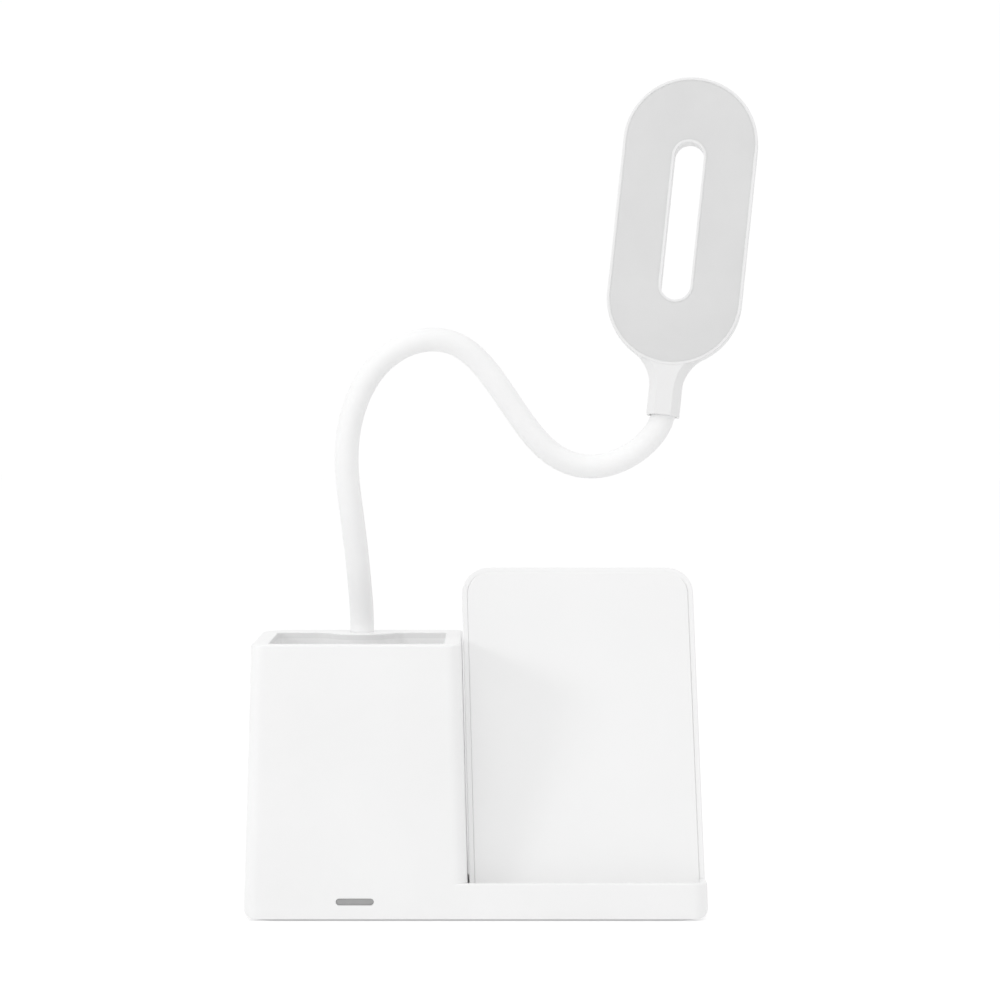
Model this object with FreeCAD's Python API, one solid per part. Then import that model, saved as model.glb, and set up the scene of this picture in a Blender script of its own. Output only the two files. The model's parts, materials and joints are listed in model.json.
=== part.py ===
"""Desk organiser lamp: a pen box, a leaning phone rest and a reading light on a gooseneck.

Millimetres, +Z up. The origin is on the desk under the middle of the base, and the front faces -Y.
Writes one STEP file for each piece into parts/.
"""
import FreeCAD, Part
import math
import os

V = FreeCAD.Vector

# ---- Base housing
BASE_W = 185.8          # width at the desk
BASE_D = 90.0           # depth at the desk
BOX_W = 89.9            # width of the pen box at the desk, from the left end
BOX_H = 110.0           # rim of the pen box above the desk
LEDGE_H = 14.8          # top of the low part of the base
DRAFT = 0.0285          # lean of every outer wall, per unit of height
FRONT_R = 5.5           # upright corners at the front
REAR_R = 12.0           # upright corners at the back
INNER_REAR_R = 4.0      # upright corner of the pen box behind the phone rest
FOOT_GAP = 0.8          # desk to the underside of the housing
SIDE_ROUND = 4.5        # rounding under both ends
EDGE_ROUND = 0.5        # upper edges of the low part, and the mouth of the pen cup
WALL = 2.2
ROOF = 2.0              # thickness of the top of the low part
RIM_T = 2.5             # thickness of the pen box rim
RIM_ROUND = 0.8         # rounding of the outer edge of the rim

# ---- Pen cup
RIM_SIDE = 6.6          # width of the rim at both sides
RIM_FRONT = 7.0         # width of the rim at the front
RIM_BACK = 14.73        # width of the rim at the back
CUP_R = 3.0             # upright inner corners
CUP_WALL = 1.6
BULGE_R = 14.0          # bulge of the back wall round the hose
BULGE_FLARE = 8.0       # hollow fillet from the bulge to the back wall

# ---- Underside
COVER_T = 2.6
COVER_SIDE = 6.4        # edge of the bottom cover from each end of the base
COVER_FRONT = 3.4       # edge of the bottom cover from the front and the back
COVER_R = 8.0
PAD_T = 1.2             # anti-slip pad
PAD_RECESS = 0.4        # sunk into the cover
PAD_EDGE = 7.5          # edge of the pad inside the edge of the cover
WEIGHT_T = 5.0          # steel counterweight
WEIGHT_IN = 3.0         # its edges in from the front and back of the cup
FIT = 0.15              # between pieces that drop into each other

# ---- Screws
POST_R = 3.2
SCREW_R = 1.1
SCREW_HEAD_R = 2.3
SCREW_HEAD_T = 1.2
SCREW_BITE = 4.4        # depth of a screw hole in a post
SCREW_EDGE = 2.2        # edge of the bottom cover to the heads
HOLE_GAP = 0.1          # around a shank

# ---- Phone rest
LEAN = 15.5             # degrees back from upright
REST_IN = 14.0          # front of the rest at its foot, in from the front of the base
REST_END = 0.3          # right edge of the rest, in from the right end of the base
REST_TOP = 138.5        # height of its top edge above the desk
REST_T = 12.0           # through the whole rest
REST_R = 11.0           # top corners
REST_SEAM = 0.7         # to the side of the pen box
REST_ROUND = 2.5        # rounding of the back cover
FRAME_T = 8.0           # depth of the front frame
FRAME_WALL = 2.2
PANEL_BORDER = 2.0      # frame left showing around the panel
PANEL_T = 2.0
PANEL_GAP = 0.15        # around the panel
PANEL_ROUND = 0.5       # rounding of its edge, which draws the groove
SHELF_W = 3.0           # shelf that the panel lies on
SHELF_T = 1.4
BACK_T = 2.0
REST_BOSS_IN = 7.5      # screw bosses in from the sides and the top
REST_BOSS_UP = 16.0     # lower bosses above the foot
REST_BOSS_R = 3.0
WINDOW_FOOT = 9.0       # lower edge of the window behind the panel
PANEL_FOOT = 1.0        # frame left below the panel
REST_EDGE = 0.5         # rounding of the front edge

# ---- Trough in front of the phone rest
TROUGH_D = 3.8
LIP_T = 3.0
TROUGH_END = 2.6        # wall at the right end

# ---- Charging face
COIL_UP = 72.0          # middle of the coil above the foot of the rest, along its face
COIL_R = 22.0
COIL_BORE_R = 10.0
COIL_T = 0.8
FERRITE_R = 25.0
FERRITE_T = 0.5
CARRIER_H = 66.0
CARRIER_T = 1.2
CHARGE_BOARD = (44.0, 34.0, 1.2)

# ---- Touch window
TOUCH_Z = 7.7
TOUCH_W = 14.8
TOUCH_H = 2.4
TOUCH_SUNK = 0.35       # face of the window behind the front wall
TOUCH_FLANGE = 1.0
TOUCH_BOARD_W = 22.0
TOUCH_BOARD_T = 1.0
TOUCH_CLEAR = 0.8       # ribs to the pen cup
RIB_T = 1.2

# ---- Main board and inlet
BOARD_D = 40.0
BOARD_T = 1.6
BOARD_LEFT = 11.0       # left edge of the board in from the pen box
BOARD_RIGHT = 16.9      # right edge of the board in from the right end
BOARD_BACK = 3.0        # back edge of the board in from the back of the base
BOARD_Z = 5.0           # underside of the board above the desk
PART_GAP = 0.8          # tallest part on the board to the roof
BOARD_SCREW_IN = 4.0
USB_OFF = 2.0           # left of the middle of the board
USB_W = 8.94
USB_H = 3.26
USB_L = 7.35
USB_SHEET = 0.3
USB_SUNK = 1.0          # mouth behind the back wall's face
USB_GAP = 0.25          # in the hole of the back wall

# ---- Gooseneck
HOSE_R = 4.0            # steel hose
HOSE_BORE_R = 2.0
SLEEVE_R = 5.0          # silicone sleeve
SLEEVE_FIT = 0.05
ARM_OFF = 0.25          # left of the middle of the pen box
ARM_BACK = 15.0         # in from the back of the base
ARM_UP = 7.0            # first joint above the rim
ARM_START = 93.0        # heading of the first link, degrees up from +X
HALF_LINK = 11.904      # length of each half of a link
ARM_TURNS = (2, 1, 1, 1, -4, -8, -10, -12, -14, -22, -19,
             -31, -24, -9, -1, 2, 12, 23, 26, 22, 16, 29)   # degrees, one per half link
DOME_OVER = 0.5         # ball-shaped end of a link, over the sleeve's radius
DOME_GAP = 0.3          # to the dish of the next link
SHELF_DOWN = 30.0       # underside of the shelf that carries the hose, below the rim
SHELF_PLATE = 3.0
SOCKET_R = 7.0
SOCKET_H = 12.0
SOCKET_FLOOR = 3.0      # under the end of the hose
STEM_R = 4.2
STEM_H = 9.0
NUT_R = 7.5
NUT_H = 4.0

# ---- Head
HEAD_W = 56.4
HEAD_L = 122.0
HEAD_T = 10.0
HEAD_TILT = 5.5         # degrees, top to the right
HEAD_PITCH = 7.5        # degrees, top to the back
HEAD_YAW = 5.5          # degrees, face to the left
HEAD_BACK_ROUND = 3.0
HEAD_FRONT_ROUND = 0.3
HEAD_RIM = 1.1          # wall beside the diffuser
HEAD_WALL = 2.0         # wall behind the diffuser's edge
HEAD_BACK_WALL = 1.8
SLOT_W = 12.5
SLOT_L = 67.2
SLOT_RIM = 0.9
DIFFUSER_T = 1.5
DIFFUSER_SUNK = 0.15
DIFFUSER_GAP = 0.1
NECK_SIDE_WALL = 0.95   # at the mouth
NECK_FACE_WALL = 0.9    # at the mouth
NECK_FACET = 7.0        # width of each main facet
NECK_SUNK = 0.2         # front facet behind the head's face
NECK_OUT = 21.0         # mouth of the neck below the end of the head
NECK_FLARE = 17.0       # hollow fillets from the neck to the head
RIDGE_UP = 19.0         # top of the ridge on the back, above the end of the head
RIDGE_FADE = 1.0        # where the ridge starts to fade, below the end of the head
NECK_BORE_GAP = 0.1     # around the sleeve
FERRULE_L = 11.0
LED_BOARD_T = 1.2
LED_BOARD_EDGE = 3.4
LED_BOARD_UP = 0.8      # seats under the board
LED_SCREW_IN = 2.0      # screws in from the board's inner edge
LED_COUNT = 32
LED_SIZE = (3.5, 2.8, 0.7)

# ---- Leads
LEAD_R = 1.0

LEFT = -BASE_W / 2
RIGHT = BASE_W / 2
FRONT = -BASE_D / 2
BACK = BASE_D / 2
BOX_RIGHT = LEFT + BOX_W
RIM_LEAN = DRAFT * BOX_H
COVER_TOP = FOOT_GAP + COVER_T
LINER_Z = COVER_TOP + WEIGHT_T
CUP_FRONT = FRONT + RIM_LEAN + RIM_FRONT
CUP_BACK = BACK - RIM_LEAN - RIM_BACK
TROUGH_Z = LEDGE_H - TROUGH_D
REST_W = RIGHT - REST_END - BOX_RIGHT - REST_SEAM
REST_FOOT_Y = FRONT + REST_IN
BOARD_X = BOX_RIGHT + BOARD_LEFT
BOARD_W = RIGHT - BOARD_RIGHT - BOARD_X
BOARD_Y = BACK - BOARD_BACK
BOARD_TOP = BOARD_Z + BOARD_T
USB_X = BOARD_X + BOARD_W / 2 - USB_OFF
ARM_X = (LEFT + BOX_RIGHT) / 2 - ARM_OFF
ARM_Y = BACK - ARM_BACK
ARM_ROOT_Z = BOX_H + ARM_UP
SHELF_Z = BOX_H - SHELF_DOWN
SHELF_TOP = SHELF_Z + SHELF_PLATE
DOME_R = SLEEVE_R + DOME_OVER
NECK_RELIEF_R = DOME_R + DOME_GAP
NECK_W = 2 * (NECK_RELIEF_R + NECK_SIDE_WALL)
NECK_DEPTH = 2 * (NECK_RELIEF_R + NECK_FACE_WALL)
NECK_END = HEAD_L / 2 + NECK_OUT
NECK_TOP = HEAD_L / 2 - RIDGE_UP
NECK_FADE = HEAD_L / 2 + RIDGE_FADE


# ---- Geometry helpers
def rounded_wire(points, radii):
    """Closed wire in the XY plane through the points, each corner rounded by its radius."""
    count = len(points)
    corners = []
    for i, (x, y) in enumerate(points):
        here = V(x, y, 0)
        back = V(*points[i - 1], 0) - here
        ahead = V(*points[(i + 1) % count], 0) - here
        back.normalize()
        ahead.normalize()
        half = back.getAngle(ahead) / 2
        if radii[i] <= 0:
            corners.append((here, None, here))
            continue
        reach = radii[i] / math.tan(half)
        middle = (back + ahead).normalize()
        tip = here + middle * (radii[i] / math.sin(half) - radii[i])
        corners.append((here + back * reach, tip, here + ahead * reach))
    edges = []
    for i, (start, tip, end) in enumerate(corners):
        if tip is not None:
            edges.append(Part.Arc(start, tip, end).toShape())
        following = corners[(i + 1) % count][0]
        if end.distanceToPoint(following) > 1e-6:
            edges.append(Part.LineSegment(end, following).toShape())
    return Part.Wire(edges)


def plate(wire, z0, z1):
    """Solid between heights z0 and z1 with the outline of a wire in the XY plane."""
    face = Part.Face(wire)
    face.translate(V(0, 0, z0))
    return face.extrude(V(0, 0, z1 - z0))


def box_wire(x0, x1, y0, y1, radius):
    corners = [(x0, y0), (x1, y0), (x1, y1), (x0, y1)]
    radii = [radius] * 4 if isinstance(radius, (int, float)) else radius
    return rounded_wire(corners, radii)


def block(x0, x1, y0, y1, z0, z1):
    return Part.makeBox(x1 - x0, y1 - y0, z1 - z0, V(x0, y0, z0))


def pin(radius, start, end):
    """Cylinder from one point to another."""
    axis = V(*end) - V(*start)
    return Part.makeCylinder(radius, axis.Length, V(*start), axis)


def drafted(x0, x1, y0, y1, z0, z1, radii, inset=0.0):
    """Block whose four sides lean inwards by the draft, moved in by inset."""
    wires = []
    for z in (z0, z1):
        move = inset + DRAFT * z
        wire = box_wire(x0 + move, x1 - move, y0 + move, y1 - move, [r - inset for r in radii])
        wire.translate(V(0, 0, z))
        wires.append(wire)
    return Part.makeLoft(wires, True, True)


def racetrack(width, length):
    """Closed wire of two straight sides and two half circles, long along Y."""
    return box_wire(-width / 2, width / 2, -length / 2, length / 2, width / 2)


def fuse(shapes):
    return shapes[0].multiFuse(shapes[1:]).removeSplitter()


def near_z(shape, z, tolerance=1e-3):
    """Edges that lie in the plane of height z."""
    return [e for e in shape.Edges
            if abs(e.BoundBox.ZMin - z) < tolerance and abs(e.BoundBox.ZMax - z) < tolerance]


def screw(x, y, z, length, head_r=SCREW_HEAD_R, head_t=SCREW_HEAD_T):
    """Pan screw pointing up, with the underside of its head at z."""
    slot = block(x - head_r, x + head_r, y - 0.3, y + 0.3, z - head_t, z - head_t / 2)
    head = pin(head_r, (x, y, z - head_t), (x, y, z))
    return fuse([head, pin(SCREW_R, (x, y, z), (x, y, z + length))]).cut(slot)


def lead(points):
    """Round lead along straight runs joined by tangent arcs."""
    path = [V(*p) for p in points]
    edges = []
    here = path[0]
    for before, corner, after in zip(path, path[1:], path[2:]):
        back = before - corner
        ahead = after - corner
        half_turn = (math.pi - back.getAngle(ahead)) / 2
        reach = 0.45 * min(back.Length, ahead.Length)
        radius = reach / math.tan(half_turn)
        back.normalize()
        ahead.normalize()
        tip = (back + ahead).normalize() * (radius / math.cos(half_turn) - radius)
        edges.append(Part.LineSegment(here, corner + back * reach).toShape())
        edges.append(Part.Arc(corner + back * reach, corner + tip, corner + ahead * reach).toShape())
        here = corner + ahead * reach
    edges.append(Part.LineSegment(here, path[-1]).toShape())
    spine = Part.Wire(edges)
    ring = Part.Wire(Part.makeCircle(LEAD_R, path[0], path[1] - path[0]))
    return spine.makePipeShell([ring], True, False)


# ---- Base housing
def cup_wire(grow):
    """Outline of the pen cup's inside, made larger by grow."""
    x0 = LEFT + RIM_LEAN + RIM_SIDE - grow
    x1 = BOX_RIGHT - RIM_LEAN - RIM_SIDE + grow
    y0 = CUP_FRONT - grow
    y1 = CUP_BACK + grow
    corner = CUP_R + grow
    bulge = BULGE_R - grow
    flare = BULGE_FLARE + grow
    flare_y = y1 - flare
    side = math.sqrt((bulge + flare) ** 2 - (ARM_Y - flare_y) ** 2)
    share = bulge / (bulge + flare)
    touch = (side * share, ARM_Y - (ARM_Y - flare_y) * share)
    arcs = []

    def arc(cx, cy, r, a0, a1):
        angles = [math.radians(a) for a in (a0, (a0 + a1) / 2, a1)]
        p = [V(cx + r * math.cos(a), cy + r * math.sin(a), 0) for a in angles]
        arcs.append((Part.Arc(*p).toShape(), p[0], p[2]))

    lean = math.degrees(math.atan2(touch[1] - flare_y, touch[0] - side))
    arc(x0 + corner, y0 + corner, corner, 180, 270)
    arc(x1 - corner, y0 + corner, corner, -90, 0)
    arc(x1 - corner, y1 - corner, corner, 0, 90)
    arc(ARM_X + side, flare_y, flare, 90, lean)
    arc(ARM_X, ARM_Y, bulge, lean - 180, -lean)
    arc(ARM_X - side, flare_y, flare, 180 - lean, 90)
    arc(x0 + corner, y1 - corner, corner, 90, 180)
    closed = []
    for (edge, _, end), (_, start, _) in zip(arcs, arcs[1:] + arcs[:1]):
        closed += [edge, Part.LineSegment(end, start).toShape()] if end.distanceToPoint(start) > 1e-6 else [edge]
    return Part.Wire(closed)


def cover_wire(grow):
    return box_wire(LEFT + COVER_SIDE - grow, RIGHT - COVER_SIDE + grow,
                    FRONT + COVER_FRONT - grow, BACK - COVER_FRONT + grow, COVER_R + grow)


def post_places():
    """Screw posts of the bottom cover, and the height that each reaches."""
    x = BASE_W / 2 - COVER_SIDE - SCREW_EDGE - SCREW_HEAD_R
    y = BASE_D / 2 - COVER_FRONT - SCREW_EDGE - SCREW_HEAD_R
    middle = BOX_RIGHT + 2 * POST_R
    roof = LEDGE_H - ROOF / 2
    trough = TROUGH_Z - ROOF / 2
    low = LINER_Z - FIT
    return [(-x, -y, low), (-x, y, low), (middle, -y, trough), (middle, y, roof), (x, -y, trough), (x, y, roof)]


def posts():
    """The posts, each with a web to the wall that it stands beside."""
    shapes = []
    for x, y, top in post_places():
        wall = math.copysign(BASE_D / 2 - WALL / 2, y)
        web = block(x - 1, x + 1, min(y, wall), max(y, wall), COVER_TOP, LINER_Z - FIT)
        shapes += [pin(POST_R, (x, y, COVER_TOP), (x, y, top)), web]
    return shapes


def outer_block(right, height, corner):
    """Outside of the base, or of the pen box alone."""
    return drafted(LEFT, right, FRONT, BACK, FOOT_GAP, height, [FRONT_R, FRONT_R, corner, REAR_R])


def side_rounding():
    """Everything that stays when the lower edges of both ends are rounded."""
    wire = rounded_wire([(LEFT, FOOT_GAP), (RIGHT, FOOT_GAP), (RIGHT, BOX_H + 5), (LEFT, BOX_H + 5)],
                        [SIDE_ROUND, SIDE_ROUND, 0, 0])
    slab = plate(wire, -BACK - 1, BACK + 1)
    slab.rotate(V(0, 0, 0), V(1, 0, 0), 90)
    return slab


def board_screw_places():
    x0 = BOARD_X + BOARD_SCREW_IN
    y1 = BOARD_Y - BOARD_SCREW_IN
    across = BOARD_W - 2 * BOARD_SCREW_IN
    deep = BOARD_D - 2 * BOARD_SCREW_IN
    return [(x0 + i * across, y1 - j * deep) for i in (0, 1) for j in (0, 1)]


def rest_screw_places():
    y = REST_FOOT_Y + 5.4
    return [(BOX_RIGHT + REST_W * share, y) for share in (0.25, 0.75)]


def lead_hole():
    return BOX_RIGHT + REST_W / 2, REST_FOOT_Y + 6.3


def trough_back():
    """Back of the trough, just clear of the back of the phone rest."""
    lean = math.radians(LEAN)
    return REST_FOOT_Y + REST_T / math.cos(lean) + (LEDGE_H - TROUGH_Z) * math.tan(lean) + 2 * FIT


def trough_space():
    """Room of the trough: the phone's ledge, and behind it the pocket for the foot of the rest."""
    lip = FRONT + DRAFT * LEDGE_H + LIP_T
    end = RIGHT - DRAFT * LEDGE_H - TROUGH_END
    ledge = plate(box_wire(BOX_RIGHT - 2 * FRONT_R, end, lip, trough_back(), [0, CUP_R, 0, 0]), TROUGH_Z, LEDGE_H + 1)
    pocket = block(end - 1, RIGHT + 1, REST_FOOT_Y - 2 * FIT, trough_back(), TROUGH_Z, LEDGE_H + 1)
    return fuse([ledge, pocket]).cut(outer_block(BOX_RIGHT, BOX_H, INNER_REAR_R))


def hose_shelf():
    """Shelf inside the back wall that carries the hose socket, with a gusset at each end."""
    half = BULGE_R - CUP_WALL - 1.0
    back = BACK - DRAFT * SHELF_Z - WALL / 2
    shapes = [pin(half, (ARM_X, ARM_Y, SHELF_Z), (ARM_X, ARM_Y, SHELF_TOP)),
              block(ARM_X - half, ARM_X + half, ARM_Y, back, SHELF_Z, SHELF_TOP)]
    for x in (ARM_X - half, ARM_X + half - WALL):
        corners = [V(x, ARM_Y, SHELF_Z), V(x, back, SHELF_Z), V(x, back, SHELF_Z - BULGE_R), V(x, ARM_Y, SHELF_Z)]
        shapes.append(Part.Face(Part.makePolygon(corners)).extrude(V(WALL, 0, 0)))
    return fuse(shapes)


def touch_wire(grow):
    return box_wire(-TOUCH_W / 2 - grow, TOUCH_W / 2 + grow, -TOUCH_H / 2 - grow, TOUCH_H / 2 + grow,
                    TOUCH_H / 2 + grow)


def touch_at(wire, y0, y1):
    """Solid with a capsule outline facing the front, between two depths."""
    shape = plate(wire, -y1, -y0)
    shape.rotate(V(0, 0, 0), V(1, 0, 0), 90)
    shape.translate(V(ARM_X, 0, TOUCH_Z))
    return shape


def touch_inside():
    """Back of the touch window's flange."""
    return FRONT + WALL + DRAFT * (TOUCH_Z + TOUCH_H) + TOUCH_FLANGE


def touch_board_y():
    """Front of the touch board, which stands on edge just before the pen cup."""
    return CUP_FRONT - CUP_WALL - TOUCH_CLEAR - RIB_T - TOUCH_BOARD_T


def touch_board_half():
    """Half the height of the touch board, which stops short of the bottom cover."""
    return TOUCH_Z - COVER_TOP - 2 * FIT


def touch_board(grow=0.0):
    wide = TOUCH_BOARD_W / 2 + grow
    half = touch_board_half() + grow
    y = touch_board_y()
    return block(ARM_X - wide, ARM_X + wide, y - grow, y + TOUCH_BOARD_T + grow, TOUCH_Z - half, TOUCH_Z + half)


def touch_rails():
    """Two ribs behind the front wall that hold the touch board on edge."""
    half = touch_board_half()
    ribs = [block(x - RIB_T, x + RIB_T, FRONT + WALL / 2, touch_board_y() + TOUCH_BOARD_T + RIB_T,
                  TOUCH_Z - half, TOUCH_Z + half) for x in (ARM_X - TOUCH_BOARD_W / 2, ARM_X + TOUCH_BOARD_W / 2)]
    return fuse(ribs).cut(touch_board(FIT))


def usb_z():
    return BOARD_TOP + USB_H / 2


def usb_plate(grow, y0, y1):
    """Solid with the inlet's outline facing the back, between two depths."""
    wire = box_wire(-USB_W / 2 - grow, USB_W / 2 + grow, -USB_H / 2 - grow, USB_H / 2 + grow, USB_H / 2 + grow)
    shape = plate(wire, -y1, -y0)
    shape.rotate(V(0, 0, 0), V(1, 0, 0), 90)
    shape.translate(V(USB_X, 0, usb_z()))
    return shape


def usb_mouth():
    return BACK - DRAFT * usb_z() - USB_SUNK


def base_housing():
    low = outer_block(RIGHT, LEDGE_H, REAR_R)
    low = low.makeFillet(EDGE_ROUND, near_z(low, LEDGE_H))
    tall = outer_block(BOX_RIGHT, BOX_H, INNER_REAR_R)
    tall = tall.makeFillet(RIM_ROUND, near_z(tall, BOX_H))
    outer = fuse([low, tall]).common(side_rounding())
    radii = [FRONT_R, FRONT_R, REAR_R, REAR_R]
    box_radii = [FRONT_R, FRONT_R, INNER_REAR_R, REAR_R]
    room = drafted(LEFT, RIGHT, FRONT, BACK, COVER_TOP, LEDGE_H - ROOF, radii, WALL)
    box_room = drafted(LEFT, BOX_RIGHT, FRONT, BACK, COVER_TOP, BOX_H - RIM_T, box_radii, WALL)
    mouth = plate(cover_wire(FIT), FOOT_GAP - 1, COVER_TOP)
    shell = outer.cut(fuse([room, box_room])).cut(mouth)
    shell = shell.cut(plate(cup_wire(0), BOX_H - RIM_T - 1, BOX_H + 1))
    cup = cup_wire(EDGE_ROUND / 2).BoundBox
    shell = shell.makeFillet(EDGE_ROUND, [e for e in near_z(shell, BOX_H) if e.BoundBox.XMin > cup.XMin
                                          and e.BoundBox.XMax < cup.XMax and e.BoundBox.YMin > cup.YMin])
    tray = block(BOX_RIGHT - WALL, RIGHT, FRONT, trough_back() + ROOF, TROUGH_Z - ROOF, LEDGE_H)
    adds = [tray.common(outer), hose_shelf(), touch_rails()] + posts()
    adds += [pin(POST_R, (x, y, BOARD_TOP), (x, y, LEDGE_H - ROOF / 2)) for x, y in board_screw_places()]
    shell = fuse([shell] + adds)
    cuts = [trough_space(), usb_plate(USB_GAP, BOARD_Y - BOARD_BACK, BACK + 1)]
    cuts.append(touch_at(touch_wire(FIT), FRONT - 1, touch_inside()))
    hole = SCREW_R + HOLE_GAP
    cuts += [pin(hole, (x, y, COVER_TOP - 1), (x, y, COVER_TOP + SCREW_BITE)) for x, y, _ in post_places()]
    cuts += [pin(hole, (x, y, BOARD_Z), (x, y, BOARD_TOP + SCREW_BITE)) for x, y in board_screw_places()]
    cuts += [pin(hole, (x, y, TROUGH_Z - ROOF - 1), (x, y, TROUGH_Z + 1)) for x, y in rest_screw_places()]
    x, y = lead_hole()
    cuts.append(pin(2 * LEAD_R, (x, y, TROUGH_Z - ROOF - 1), (x, y, TROUGH_Z + 1)))
    cuts.append(pin(SLEEVE_R + FIT, (ARM_X, ARM_Y, BOX_H - RIM_T - 1), (ARM_X, ARM_Y, BOX_H + 1)))
    cuts.append(pin(STEM_R + HOLE_GAP, (ARM_X, ARM_Y, SHELF_Z - 1), (ARM_X, ARM_Y, SHELF_TOP + 1)))
    for cut in cuts:
        shell = shell.cut(cut)
    return shell


def pen_cup_liner():
    outer = plate(cup_wire(CUP_WALL), LINER_Z, BOX_H - RIM_T)
    return outer.cut(plate(cup_wire(0), LINER_Z + CUP_WALL, BOX_H))


def bottom_cover():
    cover = plate(cover_wire(0), FOOT_GAP, COVER_TOP)
    cover = cover.cut(plate(cover_wire(FIT - PAD_EDGE), FOOT_GAP - 1, FOOT_GAP + PAD_RECESS))
    for x, y, _ in post_places():
        head = screw_seat()
        cover = cover.cut(pin(SCREW_R + HOLE_GAP, (x, y, 0), (x, y, COVER_TOP + 1)))
        cover = cover.cut(pin(SCREW_HEAD_R + FIT, (x, y, 0), (x, y, head)))
    return cover


def screw_seat():
    """Height at which the heads of the bottom screws bear."""
    return FOOT_GAP + PAD_RECESS + SCREW_HEAD_T


def anti_slip_pad():
    return plate(cover_wire(-PAD_EDGE), FOOT_GAP + PAD_RECESS - PAD_T, FOOT_GAP + PAD_RECESS)


def bottom_screws():
    length = COVER_TOP + SCREW_BITE - FIT - screw_seat()
    return Part.makeCompound([screw(x, y, screw_seat(), length) for x, y, _ in post_places()])


def counterweight():
    wire = box_wire(LEFT + RIM_LEAN + RIM_SIDE, BOX_RIGHT - RIM_LEAN - RIM_SIDE,
                    CUP_FRONT + WEIGHT_IN, CUP_BACK - WEIGHT_IN, CUP_R)
    return plate(wire, COVER_TOP, LINER_Z)


# ---- Electronics in the base
def main_board():
    board = block(BOARD_X, BOARD_X + BOARD_W, BOARD_Y - BOARD_D, BOARD_Y, BOARD_Z, BOARD_TOP)
    for x, y in board_screw_places():
        board = board.cut(pin(SCREW_R + HOLE_GAP, (x, y, 0), (x, y, LEDGE_H)))
    return board


def board_parts():
    """Coil, capacitors, chips and lead sockets soldered to the top of the main board."""
    top = BOARD_TOP
    tall = LEDGE_H - ROOF - PART_GAP
    y1 = BOARD_Y
    right = BOARD_X + BOARD_W
    socket = lead_hole()[0]
    shapes = [block(BOARD_X + 12, BOARD_X + 19, y1 - 16, y1 - 9, top, tall - 1.4),
              block(right - 20, right - 15, y1 - 25, y1 - 20, top, top + 1),
              block(BOARD_X + 24, BOARD_X + 31, y1 - 27, y1 - 20, top, top + 1.2),
              block(BOARD_X + 1, BOARD_X + 7, y1 - 20, y1 - 14, top, top + 3),
              block(socket - 3, socket + 3, y1 - BOARD_D + 1, y1 - BOARD_D + 6, top, top + 3)]
    shapes += [pin(2.5, (right - 12, y, top), (right - 12, y, tall)) for y in (y1 - 10, y1 - 16.5)]
    shapes += [block(right - x, right - x + 2, y1 - 32, y1 - 30.8, top, top + 0.8) for x in (20, 16, 12, 8)]
    return Part.makeCompound(shapes)


def board_screws():
    reach = BOARD_T + SCREW_BITE - FIT
    return Part.makeCompound([screw(x, y, BOARD_Z, reach) for x, y in board_screw_places()])


def usb_socket():
    mouth = usb_mouth()
    shell = usb_plate(0, mouth - USB_L, mouth)
    return shell.cut(usb_plate(-USB_SHEET, mouth - USB_L + USB_SHEET, mouth + 1))


def usb_tongue():
    mouth = usb_mouth()
    inner = mouth - USB_L + USB_SHEET
    root = usb_plate(-USB_SHEET, inner, inner + 2.0)
    half = USB_W / 2 - 1.1
    return fuse([root, block(USB_X - half, USB_X + half, inner, mouth - 0.6, usb_z() - 0.35, usb_z() + 0.35)])


def touch_window():
    face = touch_at(touch_wire(0), FRONT + DRAFT * TOUCH_Z + TOUCH_SUNK, touch_inside())
    return fuse([face, touch_at(touch_wire(TOUCH_FLANGE), touch_inside() - TOUCH_FLANGE, touch_inside())])


def touch_contact():
    y = touch_inside()
    return block(ARM_X - 5, ARM_X + 5, y, touch_board_y(), TOUCH_Z - TOUCH_H / 2, TOUCH_Z + TOUCH_H / 2)


# ---- Phone rest
def rest_placement():
    """Where X across, Y up the face and Z out of the face lie on the phone rest."""
    return FreeCAD.Placement(V(0, REST_FOOT_Y, TROUGH_Z), FreeCAD.Rotation(V(1, 0, 0), 90 - LEAN))


def on_rest(shape):
    shape.Placement = rest_placement().multiply(shape.Placement)
    return shape


def rest_left(up):
    """Left edge of the rest at a distance up its face: it follows the side of the pen box."""
    return BOX_RIGHT + REST_SEAM - DRAFT * (TROUGH_Z + up * math.cos(math.radians(LEAN)))


def rest_wire(inset, foot=0.0, top=None):
    """Outline of the phone rest, a leaning parallelogram, moved in by inset."""
    whole = (REST_TOP - TROUGH_Z) / math.cos(math.radians(LEAN))
    up = whole - inset if top is None else top
    radius = max(REST_R - inset, 1.0) if top is None else 0
    corners = [(rest_left(foot) + inset, foot), (rest_left(foot) + REST_W - inset, foot),
               (rest_left(up) + REST_W - inset, up), (rest_left(up) + inset, up)]
    return rounded_wire(corners, [0, 0, radius, radius])


def above(shape, z):
    """The part of a shape over the height z."""
    low = shape.BoundBox
    return shape.cut(block(low.XMin - 1, low.XMax + 1, low.YMin - 1, low.YMax + 1, low.ZMin - 1, z))


def rest_boss_places():
    whole = (REST_TOP - TROUGH_Z) / math.cos(math.radians(LEAN))
    places = []
    for up in (REST_BOSS_UP, whole - REST_BOSS_IN):
        places += [(rest_left(up) + REST_BOSS_IN, up), (rest_left(up) + REST_W - REST_BOSS_IN, up)]
    return places


def rounded_plate(wire, z0, z1, face, radius):
    """Plate whose edges at height face are rounded, apart from the edge along its foot."""
    shape = plate(wire, z0, z1)
    foot = shape.BoundBox.YMin
    edges = [e for e in near_z(shape, face) if e.BoundBox.YMax > foot + 1]
    return shape.makeFillet(radius, edges)


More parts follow.
